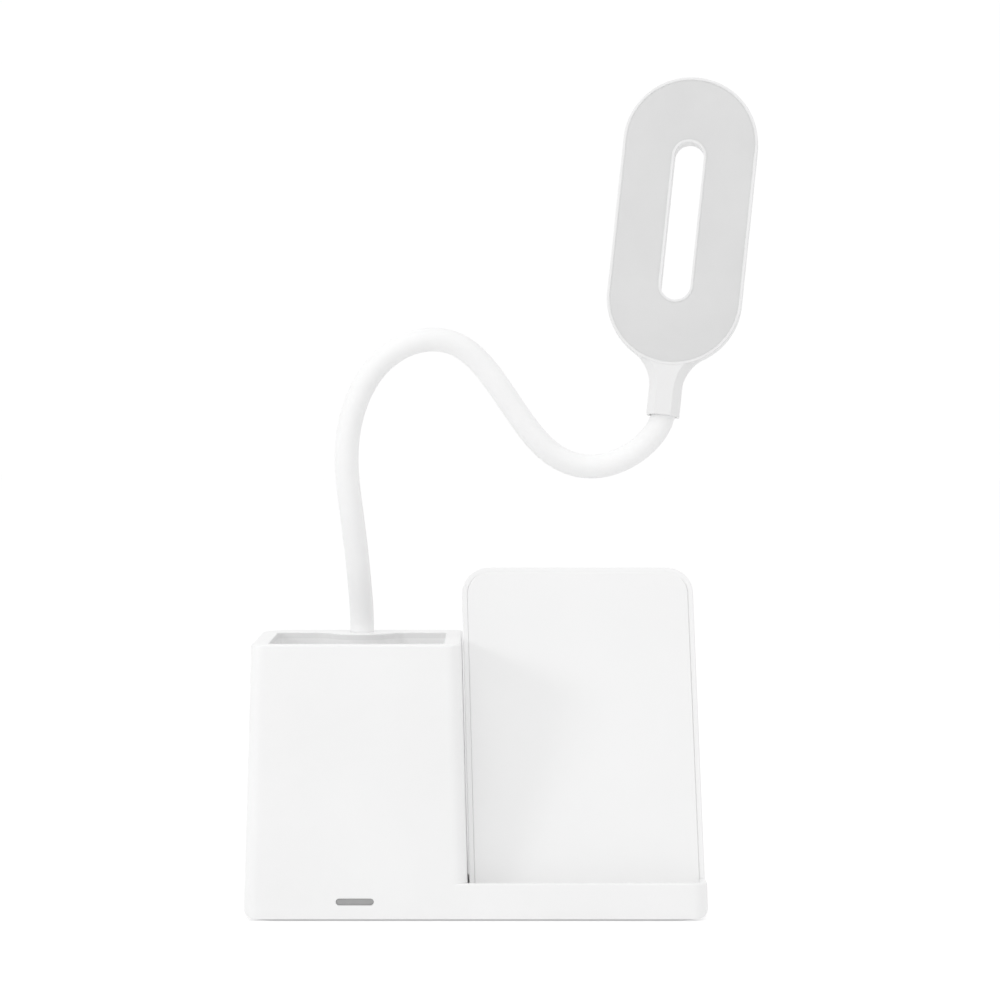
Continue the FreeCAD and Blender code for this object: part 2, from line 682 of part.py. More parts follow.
def rest_frame():
    body = rounded_plate(rest_wire(0), -FRAME_T, 0, 0, REST_EDGE)
    outer = above(on_rest(body.copy()), TROUGH_Z)
    room = above(on_rest(plate(rest_wire(FRAME_WALL), -FRAME_T - 1, -PANEL_T - SHELF_T)), TROUGH_Z + FRAME_WALL)
    frame = outer.cut(room)
    adds = [pin(REST_BOSS_R, (x, y, TROUGH_Z), (x, y, TROUGH_Z + 7)).common(outer) for x, y in rest_screw_places()]
    for x, up in rest_boss_places():
        adds.append(on_rest(pin(REST_BOSS_R, (x, up, -PANEL_T - SHELF_T / 2), (x, up, -REST_T + BACK_T))))
    frame = fuse([frame] + adds)
    cuts = [on_rest(plate(rest_wire(PANEL_BORDER, PANEL_FOOT), -PANEL_T, 1)),
            on_rest(plate(rest_wire(PANEL_BORDER + SHELF_W, WINDOW_FOOT), -PANEL_T - SHELF_T - 1, 0))]
    hole = SCREW_R + HOLE_GAP
    cuts += [pin(hole, (x, y, TROUGH_Z - 1), (x, y, TROUGH_Z + SCREW_BITE)) for x, y in rest_screw_places()]
    cuts += [on_rest(pin(hole, (x, up, -REST_T), (x, up, -REST_T + BACK_T + SCREW_BITE)))
             for x, up in rest_boss_places()]
    x, y = lead_hole()
    cuts.append(pin(2 * LEAD_R, (x, y, TROUGH_Z - 1), (x, y, TROUGH_Z + FRAME_WALL + 1)))
    for cut in cuts:
        frame = frame.cut(cut)
    return frame


def charger_panel():
    wire = rest_wire(PANEL_BORDER + PANEL_GAP, PANEL_FOOT + PANEL_GAP)
    return on_rest(rounded_plate(wire, -PANEL_T, 0, 0, PANEL_ROUND))


def rest_back_cover():
    body = rounded_plate(rest_wire(0), -REST_T, -FRAME_T, -REST_T, min(REST_ROUND, REST_T - FRAME_T - REST_EDGE))
    cover = above(on_rest(body), TROUGH_Z)
    room = on_rest(plate(rest_wire(REST_ROUND), -REST_T + BACK_T, -FRAME_T + 1))
    cover = cover.cut(above(room, TROUGH_Z + FRAME_WALL))
    for x, up in rest_boss_places():
        cover = cover.cut(on_rest(pin(SCREW_R + HOLE_GAP, (x, up, -REST_T - 1), (x, up, -FRAME_T))))
        cover = cover.cut(on_rest(pin(SCREW_HEAD_R + FIT, (x, up, -REST_T - 1), (x, up, rest_head_z()))))
    return cover


def rest_head_z():
    """Where the heads of the back screws bear, from the face of the rest."""
    return -REST_T + SCREW_HEAD_T + 0.1


def rest_screws():
    """Four screws through the back cover, and two from below through the floor of the trough."""
    length = SCREW_BITE - FIT - REST_T + BACK_T - rest_head_z()
    back = [on_rest(screw(x, up, rest_head_z(), length)) for x, up in rest_boss_places()]
    foot = [screw(x, y, TROUGH_Z - ROOF, ROOF + SCREW_BITE - FIT) for x, y in rest_screw_places()]
    return Part.makeCompound(back + foot)


def coil_centre():
    return rest_left(COIL_UP) + REST_W / 2


def charging_coil():
    x = coil_centre()
    ring = pin(COIL_R, (x, COIL_UP, -PANEL_T - COIL_T), (x, COIL_UP, -PANEL_T))
    return on_rest(ring.cut(pin(COIL_BORE_R, (x, COIL_UP, -PANEL_T - COIL_T), (x, COIL_UP, -PANEL_T))))


def ferrite_sheet():
    x = coil_centre()
    z = -PANEL_T - COIL_T
    return on_rest(pin(FERRITE_R, (x, COIL_UP, z - FERRITE_T), (x, COIL_UP, z)))


def coil_carrier():
    z = -PANEL_T - SHELF_T
    low = COIL_UP - CARRIER_H / 2
    wire = rest_wire(FRAME_WALL + FIT, low, low + CARRIER_H)
    return on_rest(plate(wire, z - CARRIER_T, z))


def charger_board():
    x = coil_centre()
    width, height, thick = CHARGE_BOARD
    z = -PANEL_T - SHELF_T - CARRIER_T
    return on_rest(block(x - width / 2, x + width / 2, COIL_UP - height / 2, COIL_UP + height / 2, z - thick, z))


def charger_parts():
    """Chips, capacitors and the lead socket soldered to the back of the charging board."""
    x = coil_centre()
    z = -PANEL_T - SHELF_T - CARRIER_T - CHARGE_BOARD[2]
    foot = COIL_UP - CHARGE_BOARD[1] / 2
    shapes = [block(x - 4, x + 4, COIL_UP - 4, COIL_UP + 4, z - 1, z),
              block(x - 3, x + 3, foot + 4, foot + 9, z - 2.6, z)]
    shapes += [block(x + step, x + step + 3, COIL_UP + 9, COIL_UP + 12, z - 1.6, z) for step in (-18, -12, -6, 3, 9)]
    shapes += [block(x + side * 13 - 2, x + side * 13 + 2, COIL_UP - 3, COIL_UP + 3, z - 1.2, z) for side in (-1, 1)]
    return on_rest(Part.makeCompound(shapes))


# ---- Leads inside the base
def lamp_lead():
    top = BOARD_TOP + LEAD_R
    y = BOARD_Y - 17
    behind = (CUP_BACK + CUP_WALL + BACK - WALL) / 2
    start = (BOARD_X + 1, y, top)
    end = (ARM_X, ARM_Y, SHELF_TOP - STEM_H)
    return lead([start, (BOARD_X - 5, y, top), (BOX_RIGHT - 11, behind, top + 0.6), (ARM_X + 12, behind, top + 8),
                 (ARM_X, ARM_Y + 1, top + 32), end])


def charger_lead():
    x, y = lead_hole()
    z = BOARD_TOP + LEAD_R
    up = COIL_UP - CHARGE_BOARD[1] / 2 + 4
    deep = PANEL_T + SHELF_T + CARRIER_T + CHARGE_BOARD[2] + LEAD_R
    run = [tuple(rest_placement().multVec(V(x, place, -deep))) for place in (up - 14, up)]
    return lead([(x, BOARD_Y - BOARD_D + 1, z), (x, y, z), (x, y, TROUGH_Z + 2 * FRAME_WALL)] + run)


# ---- Gooseneck
def onward(place, heading, turn, length):
    """Where an arc that starts at a place and heading ends: its place and its new heading."""
    half = math.radians(turn) / 2
    chord = length * (math.sin(half) / half if half else 1.0)
    angle = math.radians(heading) + half
    end = place + V(math.cos(angle), 0, math.sin(angle)) * chord
    return end, heading + turn


def bearing(heading):
    return V(math.cos(math.radians(heading)), 0, math.sin(math.radians(heading)))


def arm_links():
    """For each link, the place and heading of its start, middle and end."""
    place = V(ARM_X, ARM_Y, ARM_ROOT_Z)
    heading = ARM_START
    links = []
    for first, second in zip(ARM_TURNS[::2], ARM_TURNS[1::2]):
        stops = [(place, heading, first)]
        place, heading = onward(place, heading, first, HALF_LINK)
        stops.append((place, heading, second))
        place, heading = onward(place, heading, second, HALF_LINK)
        stops.append((place, heading, 0))
        links.append(stops)
    return links


def link_spine(stops):
    """Centre line of a link: its two arcs, and straight on past its last joint for the ball end."""
    edges = []
    for (place, heading, turn), (end, _, _) in zip(stops, stops[1:]):
        middle, _ = onward(place, heading, turn / 2, HALF_LINK / 2)
        straight = abs(turn) < 1e-6
        curve = Part.LineSegment(place, end) if straight else Part.Arc(place, middle, end)
        edges.append(curve.toShape())
    end, heading, _ = stops[-1]
    edges.append(Part.LineSegment(end, end + bearing(heading) * DOME_R).toShape())
    return Part.Wire(edges)


def hollow(spine, start, axis, outer, inner):
    """Tube along a centre line."""
    pipes = [spine.makePipeShell([Part.Wire(Part.makeCircle(r, start, axis))], True, False)
             for r in (outer, inner)]
    return pipes[0].cut(pipes[1])


def dished(shape, joint):
    """Hollow out the end at a joint, clear of the ball end before it."""
    return shape.cut(Part.makeSphere(DOME_R + DOME_GAP, joint))


def domed(shape, joint, axis):
    """Round off the end past a joint as a ball."""
    beyond = Part.makeCylinder(2 * DOME_R, 2 * DOME_R, joint, axis)
    return shape.cut(beyond.cut(Part.makeSphere(DOME_R, joint)))


def link_tube(stops, outer, inner):
    start, heading, _ = stops[0]
    end, last, _ = stops[-1]
    tube = hollow(link_spine(stops), start, bearing(heading), outer, inner)
    return domed(dished(tube, start), end, bearing(last))


def root_tube(z, outer, inner):
    joint = V(ARM_X, ARM_Y, ARM_ROOT_Z)
    start = V(ARM_X, ARM_Y, z)
    spine = Part.Wire(Part.LineSegment(start, joint + V(0, 0, DOME_R)).toShape())
    return domed(hollow(spine, start, V(0, 0, 1), outer, inner), joint, V(0, 0, 1))


def hose_socket():
    """Crimped hose end with a threaded stem that goes down through the shelf."""
    seat = SHELF_TOP
    floor = seat + SOCKET_FLOOR
    body = fuse([pin(SOCKET_R, (ARM_X, ARM_Y, seat), (ARM_X, ARM_Y, seat + SOCKET_H)),
                 pin(STEM_R, (ARM_X, ARM_Y, seat - STEM_H), (ARM_X, ARM_Y, seat))])
    body = body.cut(pin(HOSE_R + SLEEVE_FIT, (ARM_X, ARM_Y, floor), (ARM_X, ARM_Y, seat + SOCKET_H + 1)))
    return body.cut(pin(HOSE_BORE_R, (ARM_X, ARM_Y, seat - STEM_H - 1), (ARM_X, ARM_Y, floor + 1)))


def socket_nut():
    points = [(ARM_X + NUT_R * math.cos(math.radians(60 * k)), ARM_Y + NUT_R * math.sin(math.radians(60 * k)))
              for k in range(6)]
    nut = plate(rounded_wire(points, [0] * 6), SHELF_Z - NUT_H, SHELF_Z)
    return nut.cut(pin(STEM_R + SLEEVE_FIT, (ARM_X, ARM_Y, SHELF_Z - NUT_H), (ARM_X, ARM_Y, SHELF_Z)))


def hose_root():
    return root_tube(SHELF_TOP + SOCKET_FLOOR, HOSE_R, HOSE_BORE_R)


def sleeve_root():
    return root_tube(SHELF_TOP + SOCKET_H + FIT, SLEEVE_R, HOSE_R + SLEEVE_FIT)


# ---- Head
def head_placement():
    """Where X across, Y up and Z out of the face lie on the head: its neck's mouth is the last joint."""
    turn = FreeCAD.Rotation(V(0, 0, 1), -HEAD_YAW)
    for axis, angle in ((V(1, 0, 0), -HEAD_PITCH), (V(0, 1, 0), HEAD_TILT), (V(1, 0, 0), 90)):
        turn = turn.multiply(FreeCAD.Rotation(axis, angle))
    joint = arm_links()[-1][-1][0]
    return FreeCAD.Placement(joint - turn.multVec(V(0, -NECK_END, neck_z())), turn)


def on_head(shape):
    shape.Placement = head_placement().multiply(shape.Placement)
    return shape


def neck_z():
    """Depth of the neck's axis behind the face."""
    return -NECK_SUNK - NECK_DEPTH / 2


def along_neck(radius, y0, y1):
    return pin(radius, (0, y0, neck_z()), (0, y1, neck_z()))


def neck_core():
    """Eight-sided neck that runs on up the back of the head as a ridge and fades out."""
    half = NECK_W / 2
    flat = NECK_FACET / 2
    front = -NECK_SUNK
    back = front - NECK_DEPTH
    bevel = (NECK_DEPTH - NECK_FACET) / 2
    corners = [(flat, front), (half, front - bevel), (half, back + bevel), (flat, back),
               (-flat, back), (-half, back + bevel), (-half, front - bevel), (-flat, front)]
    section = Part.makePolygon([V(x, -NECK_END, z) for x, z in corners + corners[:1]])
    core = Part.Face(section).extrude(V(0, NECK_END - NECK_TOP, 0))
    fade = [V(-half - 1, -NECK_FADE, back), V(-half - 1, -NECK_TOP, -HEAD_T + 0.5),
            V(-half - 1, -NECK_TOP, back - 1), V(-half - 1, -NECK_FADE, back - 1), V(-half - 1, -NECK_FADE, back)]
    return core.cut(Part.Face(Part.makePolygon(fade)).extrude(V(NECK_W + 2, 0, 0)))


def neck_flare():
    """Web with hollow sides that spreads the neck into the end of the head."""
    half = NECK_W / 2
    end_r = HEAD_W / 2
    end_y = -(HEAD_L / 2 - end_r)
    side = half + NECK_FLARE
    drop = math.sqrt((end_r + NECK_FLARE) ** 2 - side ** 2)
    flare_y = end_y - drop
    share = end_r / (end_r + NECK_FLARE)
    touch = V(side * share, end_y - drop * share, 0)
    middle_angle = (math.pi + math.atan2(touch.y - flare_y, touch.x - side)) / 2
    middle = V(side + NECK_FLARE * math.cos(middle_angle), flare_y + NECK_FLARE * math.sin(middle_angle), 0)
    start = V(half, flare_y, 0)
    left = [V(-p.x, p.y, 0) for p in (start, middle, touch)]
    top = end_y - end_r + NECK_FLARE
    edges = [Part.Arc(start, middle, touch).toShape(), Part.LineSegment(touch, V(touch.x, top, 0)).toShape(),
             Part.LineSegment(V(touch.x, top, 0), V(-touch.x, top, 0)).toShape(),
             Part.LineSegment(V(-touch.x, top, 0), left[2]).toShape(),
             Part.Arc(left[2], left[1], left[0]).toShape(), Part.LineSegment(left[0], start).toShape()]
    web = plate(Part.Wire(edges), -HEAD_T + 0.4, -NECK_SUNK)
    bevel = (NECK_DEPTH - NECK_FACET) / 2
    arcs = [e for e in near_z(web, -NECK_SUNK) + near_z(web, -HEAD_T + 0.4)
            if e.Curve.TypeId == "Part::GeomCircle"]
    return web.makeChamfer(bevel, arcs)


def head_shell():
    body = plate(racetrack(HEAD_W, HEAD_L), -HEAD_T, 0)
    body = body.makeFillet(HEAD_BACK_ROUND, near_z(body, -HEAD_T))
    body = body.makeFillet(HEAD_FRONT_ROUND, near_z(body, 0))
    body = fuse([body, neck_core(), neck_flare()])
    seat = -DIFFUSER_SUNK - DIFFUSER_T
    floor = -HEAD_T + HEAD_BACK_WALL
    shelf = HEAD_WALL - HEAD_RIM
    recess = head_ring(HEAD_RIM, SLOT_RIM, seat, 1)
    room = head_ring(HEAD_WALL, SLOT_RIM + shelf, floor, seat)
    body = body.cut(recess).cut(room)
    seats = [pin(LED_BOARD_UP * 3, (x, y, floor - 0.5), (x, y, floor + LED_BOARD_UP))
             for x, y in led_screw_places()]
    body = fuse([body] + seats)
    cuts = [plate(racetrack(SLOT_W, SLOT_L), -HEAD_T - 1, 1),
            along_neck(NECK_RELIEF_R, -NECK_END - 1, -NECK_END + DOME_R + DOME_GAP),
            along_neck(SLEEVE_R + NECK_BORE_GAP, -NECK_END, -NECK_FADE),
            along_neck(HOSE_BORE_R, -NECK_FADE - 1, -HEAD_L / 2 + 3 * HEAD_WALL),
            neck_screw_pin(1.6)]
    cuts += [pin(SCREW_R * 0.8, (x, y, floor - 1.2), (x, y, 0)) for x, y in led_screw_places()]
    for cut in cuts:
        body = body.cut(cut)
    return on_head(body)


def head_ring(edge, slot_edge, z0, z1):
    """Plate over the whole face apart from an edge along its outline and along the slot."""
    outer = plate(racetrack(HEAD_W - 2 * edge, HEAD_L - 2 * edge), z0, z1)
    return outer.cut(plate(racetrack(SLOT_W + 2 * slot_edge, SLOT_L + 2 * slot_edge), z0 - 1, z1 + 1))


def diffuser():
    front = -DIFFUSER_SUNK
    return on_head(head_ring(HEAD_RIM + DIFFUSER_GAP, SLOT_RIM + DIFFUSER_GAP, front - DIFFUSER_T, front))


def led_board_front():
    return -HEAD_T + HEAD_BACK_WALL + LED_BOARD_UP + LED_BOARD_T


def led_screw_places():
    x = SLOT_W / 2 + LED_BOARD_EDGE + LED_SCREW_IN
    y = HEAD_L / 2 - HEAD_W / 2 - 4.0
    return [(i * x, j * y) for i in (-1, 1) for j in (-1, 1)]


def led_board():
    front = led_board_front()
    board = head_ring(LED_BOARD_EDGE, LED_BOARD_EDGE, front - LED_BOARD_T, front)
    for x, y in led_screw_places():
        board = board.cut(pin(SCREW_R, (x, y, front - LED_BOARD_T), (x, y, front)))
    return on_head(board)


def head_screws():
    front = led_board_front()
    shapes = []
    for x, y in led_screw_places():
        piece = fuse([pin(1.9, (x, y, front), (x, y, front + 1.0)),
                      pin(SCREW_R * 0.8 - 0.05, (x, y, front - LED_BOARD_T - LED_BOARD_UP - 0.8), (x, y, front))])
        shapes.append(piece.cut(block(x - 2, x + 2, y - 0.25, y + 0.25, front + 0.6, front + 1.1)))
    return on_head(Part.makeCompound(shapes))


def led_chips():
    """A row of light-emitting diodes round the board, midway between its two edges."""
    front = led_board_front()
    radius = (HEAD_W + SLOT_W) / 4
    straight = HEAD_L - HEAD_W
    around = 2 * straight + 2 * math.pi * radius
    length, width, height = LED_SIZE
    chips = []
    for k in range(LED_COUNT):
        s = (k + 0.5) * around / LED_COUNT
        side, s = divmod(s, around / 2)
        if s < straight:
            x, y, angle = radius, s - straight / 2, 90
        else:
            turn = (s - straight) / radius
            x, y = radius * math.cos(turn), straight / 2 + radius * math.sin(turn)
            angle = 90 + math.degrees(turn)
        chip = block(-length / 2, length / 2, -width / 2, width / 2, front, front + height)
        chip.rotate(V(0, 0, 0), V(0, 0, 1), angle)
        chip.translate(V(x, y, 0))
        chip.rotate(V(0, 0, 0), V(0, 0, 1), 180 * side)
        chips.append(chip)
    return on_head(Part.makeCompound(chips))


def hose_tip():
    return on_head(tip_tube(NECK_END - NECK_FADE - 1.0, HOSE_R, HOSE_BORE_R))


def sleeve_tip():
    return on_head(tip_tube(NECK_END - NECK_FADE - 1.0 - FERRULE_L - FIT, SLEEVE_R, HOSE_R + SLEEVE_FIT))


def tip_tube(length, outer, inner):
    """Tube from the last joint up into the neck."""
    tube = along_neck(outer, -NECK_END, -NECK_END + length).cut(along_neck(inner, -NECK_END, -NECK_END + length))
    return dished(tube, V(0, -NECK_END, neck_z()))


def neck_ferrule():
    top = -NECK_FADE - 1.0
    return on_head(along_neck(SLEEVE_R, top - FERRULE_L, top).cut(
        along_neck(HOSE_R + SLEEVE_FIT, top - FERRULE_L, top)))


def neck_screw_pin(radius):
    y = -NECK_FADE - 1.0 - FERRULE_L / 2
    return pin(radius, (0, y, -NECK_SUNK - NECK_DEPTH - 1), (0, y, neck_z() - SLEEVE_R))


def neck_screw():
    y = -NECK_FADE - 1.0 - FERRULE_L / 2
    back = -NECK_SUNK - NECK_DEPTH + 0.2
    screw_body = pin(1.5, (0, y, back), (0, y, neck_z() - SLEEVE_R))
    return on_head(screw_body.cut(pin(0.8, (0, y, back), (0, y, back + 0.8))))


PIECES = [base_housing, pen_cup_liner, bottom_cover, anti_slip_pad, bottom_screws, counterweight, main_board,
          board_parts, board_screws, usb_socket, usb_tongue, touch_window, touch_contact, touch_board, rest_frame,
          charger_panel, rest_back_cover, rest_screws, charging_coil, ferrite_sheet,
          coil_carrier, charger_board, charger_parts, lamp_lead, charger_lead, hose_socket, socket_nut,
          hose_root, sleeve_root, head_shell, diffuser, led_board, led_chips, head_screws, hose_tip,
          sleeve_tip, neck_ferrule, neck_screw]


def main():
    shapes = {piece.__name__: piece() for piece in PIECES}
    for number, stops in enumerate(arm_links(), start=1):
        shapes[f"hose_link_{number:02d}"] = link_tube(stops, HOSE_R, HOSE_BORE_R)
        shapes[f"sleeve_link_{number:02d}"] = link_tube(stops, SLEEVE_R, HOSE_R + SLEEVE_FIT)
    os.makedirs("parts", exist_ok=True)
    for name, shape in shapes.items():
        shape.exportStep(os.path.join("parts", name + ".step"))


main()
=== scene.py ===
"""Looks of a desk organiser lamp: moulded white shells, a silicone gooseneck and an opal light.

Metres, +Z up, the front faces -Y. Sizes are written in millimetres and scaled by MM.
"""

import json
import math

import bmesh
import bpy
import numpy as np
from mathutils import Matrix, Vector


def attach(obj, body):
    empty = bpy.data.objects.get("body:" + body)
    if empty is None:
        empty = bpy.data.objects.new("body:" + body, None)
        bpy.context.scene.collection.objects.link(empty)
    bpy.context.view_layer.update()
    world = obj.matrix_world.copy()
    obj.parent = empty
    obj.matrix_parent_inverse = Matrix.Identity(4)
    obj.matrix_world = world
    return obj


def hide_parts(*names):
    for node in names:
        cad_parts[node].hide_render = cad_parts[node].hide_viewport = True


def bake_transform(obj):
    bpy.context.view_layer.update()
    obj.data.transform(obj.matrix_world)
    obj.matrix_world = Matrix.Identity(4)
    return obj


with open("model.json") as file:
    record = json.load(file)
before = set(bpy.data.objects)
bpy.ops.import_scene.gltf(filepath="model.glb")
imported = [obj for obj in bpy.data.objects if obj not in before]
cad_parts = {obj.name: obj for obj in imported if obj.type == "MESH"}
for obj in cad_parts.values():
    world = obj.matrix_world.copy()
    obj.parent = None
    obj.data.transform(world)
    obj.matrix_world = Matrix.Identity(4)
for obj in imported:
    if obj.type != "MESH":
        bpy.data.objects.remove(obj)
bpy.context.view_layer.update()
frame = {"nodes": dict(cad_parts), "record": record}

MM = 0.001

# ---- Gooseneck
ARM = Vector((-48.2, 30, 117)) * MM  # first hinge
ARM_START = 93  # heading of the first link, degrees up from +X
HINGES = 12
HALF_LINK = 11.904 * MM
ARM_TURNS = (2, 1, 1, 1, -4, -8, -10, -12, -14, -22, -19,
             -31, -24, -9, -1, 2, 12, 23, 26, 22, 16, 29)
HOSE_FOOT = 86 * MM  # end of the hose in its socket
HOSE_STEADY = 16 * MM  # upright this far above its end
NECK_STEADY = 8 * MM  # and straight this far into the neck
SLEEVE_FOOT = 95.15 * MM
HOSE_IN_NECK = 19 * MM
SLEEVE_IN_NECK = 7.85 * MM
SLEEVE_R = 5 * MM
SLEEVE_BORE_R = 4.05 * MM
COLLAR_R = 5.62 * MM  # where it swells inside the mouth of the neck
COLLAR = (0.3 * MM, 0.9 * MM, 3 * MM, 4.4 * MM)

# ---- Head, in mm: across, up and out of its face
HEAD_TURNS = (("Z", -5.5), ("X", -7.5), ("Y", 5.5), ("X", 90))
NECK_MOUTH = Vector((0, -82, -6.9))
HEAD_W, HEAD_L = 56.4, 122
SLOT_W, SLOT_L = 12.5, 67.2
HEAD_RIM, SLOT_RIM = 1.1, 1  # walls beside the diffuser
LIGHT_BOARD_FACE = -6.2
LIGHTS = 32

# ---- Phone rest, in mm: across, up its face and out of it
REST_FOOT = Vector((0, -31, 11))
REST_LEAN = 15.5
REST_LEFT = -2.3  # its left edge, if that reached the desk
REST_W, REST_UP, REST_R = 94.9, 132.312, 11
DRAFT = 0.0285  # lean of its side edges
PANEL_IN = 2  # groove round the panel, in from the edge
PANEL_GAP = 0.15
COIL_PLACE = Vector((42.859, 72, -2.4))
CHARGING_BOARD = Vector((42.859, 72, -5.8))

# ---- Base, in mm
MAIN_BOARD_TOP, PAD_TOP = 6.6, 0.3
COVER_SCREWS = [(x, y, 2.4) for x in (-82, 3.4, 82) for y in (-37.1, 37.1)]
BOARD_SCREWS = [(x, y, 5) for x in (12, 72) for y in (6, 38)]
FOOT_SCREWS = [(x, -25.6, 9) for x in (20.725, 68.175)]
BACK_SCREWS = [(4.447, 16, -10.7), (84.347, 16, -10.7), (1.459, 124.812, -10.7), (81.359, 124.812, -10.7)]
LIGHT_BOARD_SCREWS = [(x, y, LIGHT_BOARD_FACE) for x in (-11.65, 11.65) for y in (-28.8, 28.8)]
CONTACTS_FROM, CONTACTS_TO, CONTACTS_Y = 37.25, 42.75, 40.4
CONTACT_HEIGHTS = (8.585, 7.875)  # both faces of the inlet's tongue

MATH, VECTOR, RANGE = "ShaderNodeMath", "ShaderNodeVectorMath", "ShaderNodeMapRange"
NOISE, CELLS = "ShaderNodeTexNoise", "ShaderNodeTexVoronoi"


# ---- Nodes
def join(node, inputs):
    """Puts values, sockets or nodes, which stand for their first output, on a node's inputs."""
    for name, value in inputs.items() if isinstance(inputs, dict) else enumerate(inputs):
        if isinstance(value, bpy.types.Node):
            value = value.outputs[0]
        if isinstance(value, bpy.types.NodeSocket):
            node.id_data.links.new(value, node.inputs[name])
        else:
            node.inputs[name].default_value = value
    return node


def add(tree, kind, inputs=(), **settings):
    """A node of a kind, with its settings and inputs."""
    node = tree.nodes.new(kind)
    for name, value in settings.items():
        setattr(node, name, value)
    return join(node, inputs)


def cleared(owner):
    """The emptied node tree of a material or of the world."""
    owner.use_nodes = True
    owner.node_tree.nodes.clear()
    return owner.node_tree


# ---- Materials
def paint(code):
    """Linear colour of an sRGB hex value."""
    channels = [int(code[i:i + 2], 16) / 255 for i in (1, 3, 5)]
    return [c / 12.92 if c <= 0.04045 else ((c + 0.055) / 1.055) ** 2.4 for c in channels] + [1.0]


def start(name, **constants):
    """A new material with constants on its shader, its tree and the place on the object, in metres."""
    material = bpy.data.materials.new(name)
    tree = cleared(material)
    shader = add(tree, "ShaderNodeBsdfPrincipled", {
        socket.replace("_", " "): value for socket, value in constants.items()})
    add(tree, "ShaderNodeOutputMaterial", {"Surface": shader})
    return material, tree, add(tree, "ShaderNodeTexCoord").outputs["Object"]


def finished(material, share, tones, gloss, rough, relief, depth, strength=1.0):
    """Ends a material: 0 to 1 patterns go between two tones and two roughnesses, and lift the surface."""
    tree = material.node_tree
    tone = add(tree, "ShaderNodeMix", {0: share, 6: paint(tones[0]), 7: paint(tones[1])}, data_type="RGBA")
    matt = add(tree, RANGE, {"Value": gloss, "To Min": rough[0], "To Max": rough[1]})
    bump = add(tree, "ShaderNodeBump", {"Height": relief, "Distance": depth, "Strength": strength})
    join(tree.nodes["Principled BSDF"], {"Base Color": tone.outputs[2], "Roughness": matt, "Normal": bump})
    return material


def wandering(tree, place, size):
    """0 to 1 pattern that changes slowly over patches of a size."""
    cloud = add(tree, NOISE, {"Vector": place, "Scale": 1 / size, "Detail": 3.0})
    return add(tree, RANGE, {"Value": cloud, "From Min": 0.3, "From Max": 0.7})


def moulded_abs(name, tones, rough=(0.4, 0.5), grain=0.6 * MM):
    """ABS or nylon from a spark-eroded mould: satin, and it never mirrors.

    The real grain is about 0.15 mm and can't be seen from a metre, so it is drawn at 0.6 mm.
    The tone wanders over 55 mm, as the melt flowed, and the gloss over 18 mm.
    """
    material, tree, place = start(name, IOR=1.53)
    fine = add(tree, NOISE, {"Vector": place, "Scale": 1 / grain, "Roughness": 0.6})
    patches = add(tree, NOISE, {"Vector": place, "Scale": 1 / (18 * MM), "Detail": 4.0, "Roughness": 0.55})
    mixed = add(tree, MATH, [fine, 0.5, patches], operation="MULTIPLY_ADD")
    gloss = add(tree, RANGE, {"Value": mixed, "From Min": 0.5, "From Max": 1.0})
    return finished(material, wandering(tree, place, 55 * MM), tones, gloss, rough, fine, 0.012 * MM)


def skinned(name, patch, tones, grain, rough, depth, detail=2.0, harsh=0.6, **constants):
    """Lacquer, frosting or rubber: tones wander over patches, gloss and relief follow one fine grain."""
    material, tree, place = start(name, **constants)
    skin = add(tree, NOISE, {"Vector": place, "Scale": 1 / grain, "Detail": detail, "Roughness": harsh})
    return finished(material, wandering(tree, place, patch), tones, skin, rough, skin, depth)


def rolled_metal(name, tones, rough, streak, along):
    """Bare or plated metal with fine streaks along one axis, drawn coarser than their real 0.1 mm."""
    material, tree, place = start(name, Metallic=1.0)
    stretch = [1 / streak] * 3
    stretch[along] = 1 / (12 * streak)
    lines = add(tree, "ShaderNodeMapping", {"Vector": place, "Scale": stretch})
    cloud = add(tree, NOISE, {"Vector": lines, "Scale": 1.0, "Detail": 3.0, "Roughness": 0.6})
    return finished(material, cloud, tones, cloud, rough, cloud, 0.01 * MM, 0.6)


def rubber(name, tones, pebble, rough=(0.85, 0.72), depth=0.05 * MM):
    """Moulded rubber or PVC: dark, dull and lightly pebbled, and paler in its hollows."""
    material, tree, place = start(name, IOR=1.52, Specular_IOR_Level=0.35)
    cells = add(tree, CELLS, {"Vector": place, "Scale": 1 / pebble})
    return finished(material, cells, tones, cells, rough, cells, depth, 0.7)


def speckled(name, tones, size, rough, depth, **constants):
    """Pressed, foamed or sintered stuff whose grains differ in tone, one size across."""
    material, tree, place = start(name, **constants)
    cells = add(tree, CELLS, {"Vector": place, "Scale": 1 / size})
    grey = add(tree, "ShaderNodeSeparateColor", {"Color": cells.outputs["Color"]}).outputs
    return finished(material, grey["Red"], tones, grey["Green"], rough, cells, depth, 0.6)


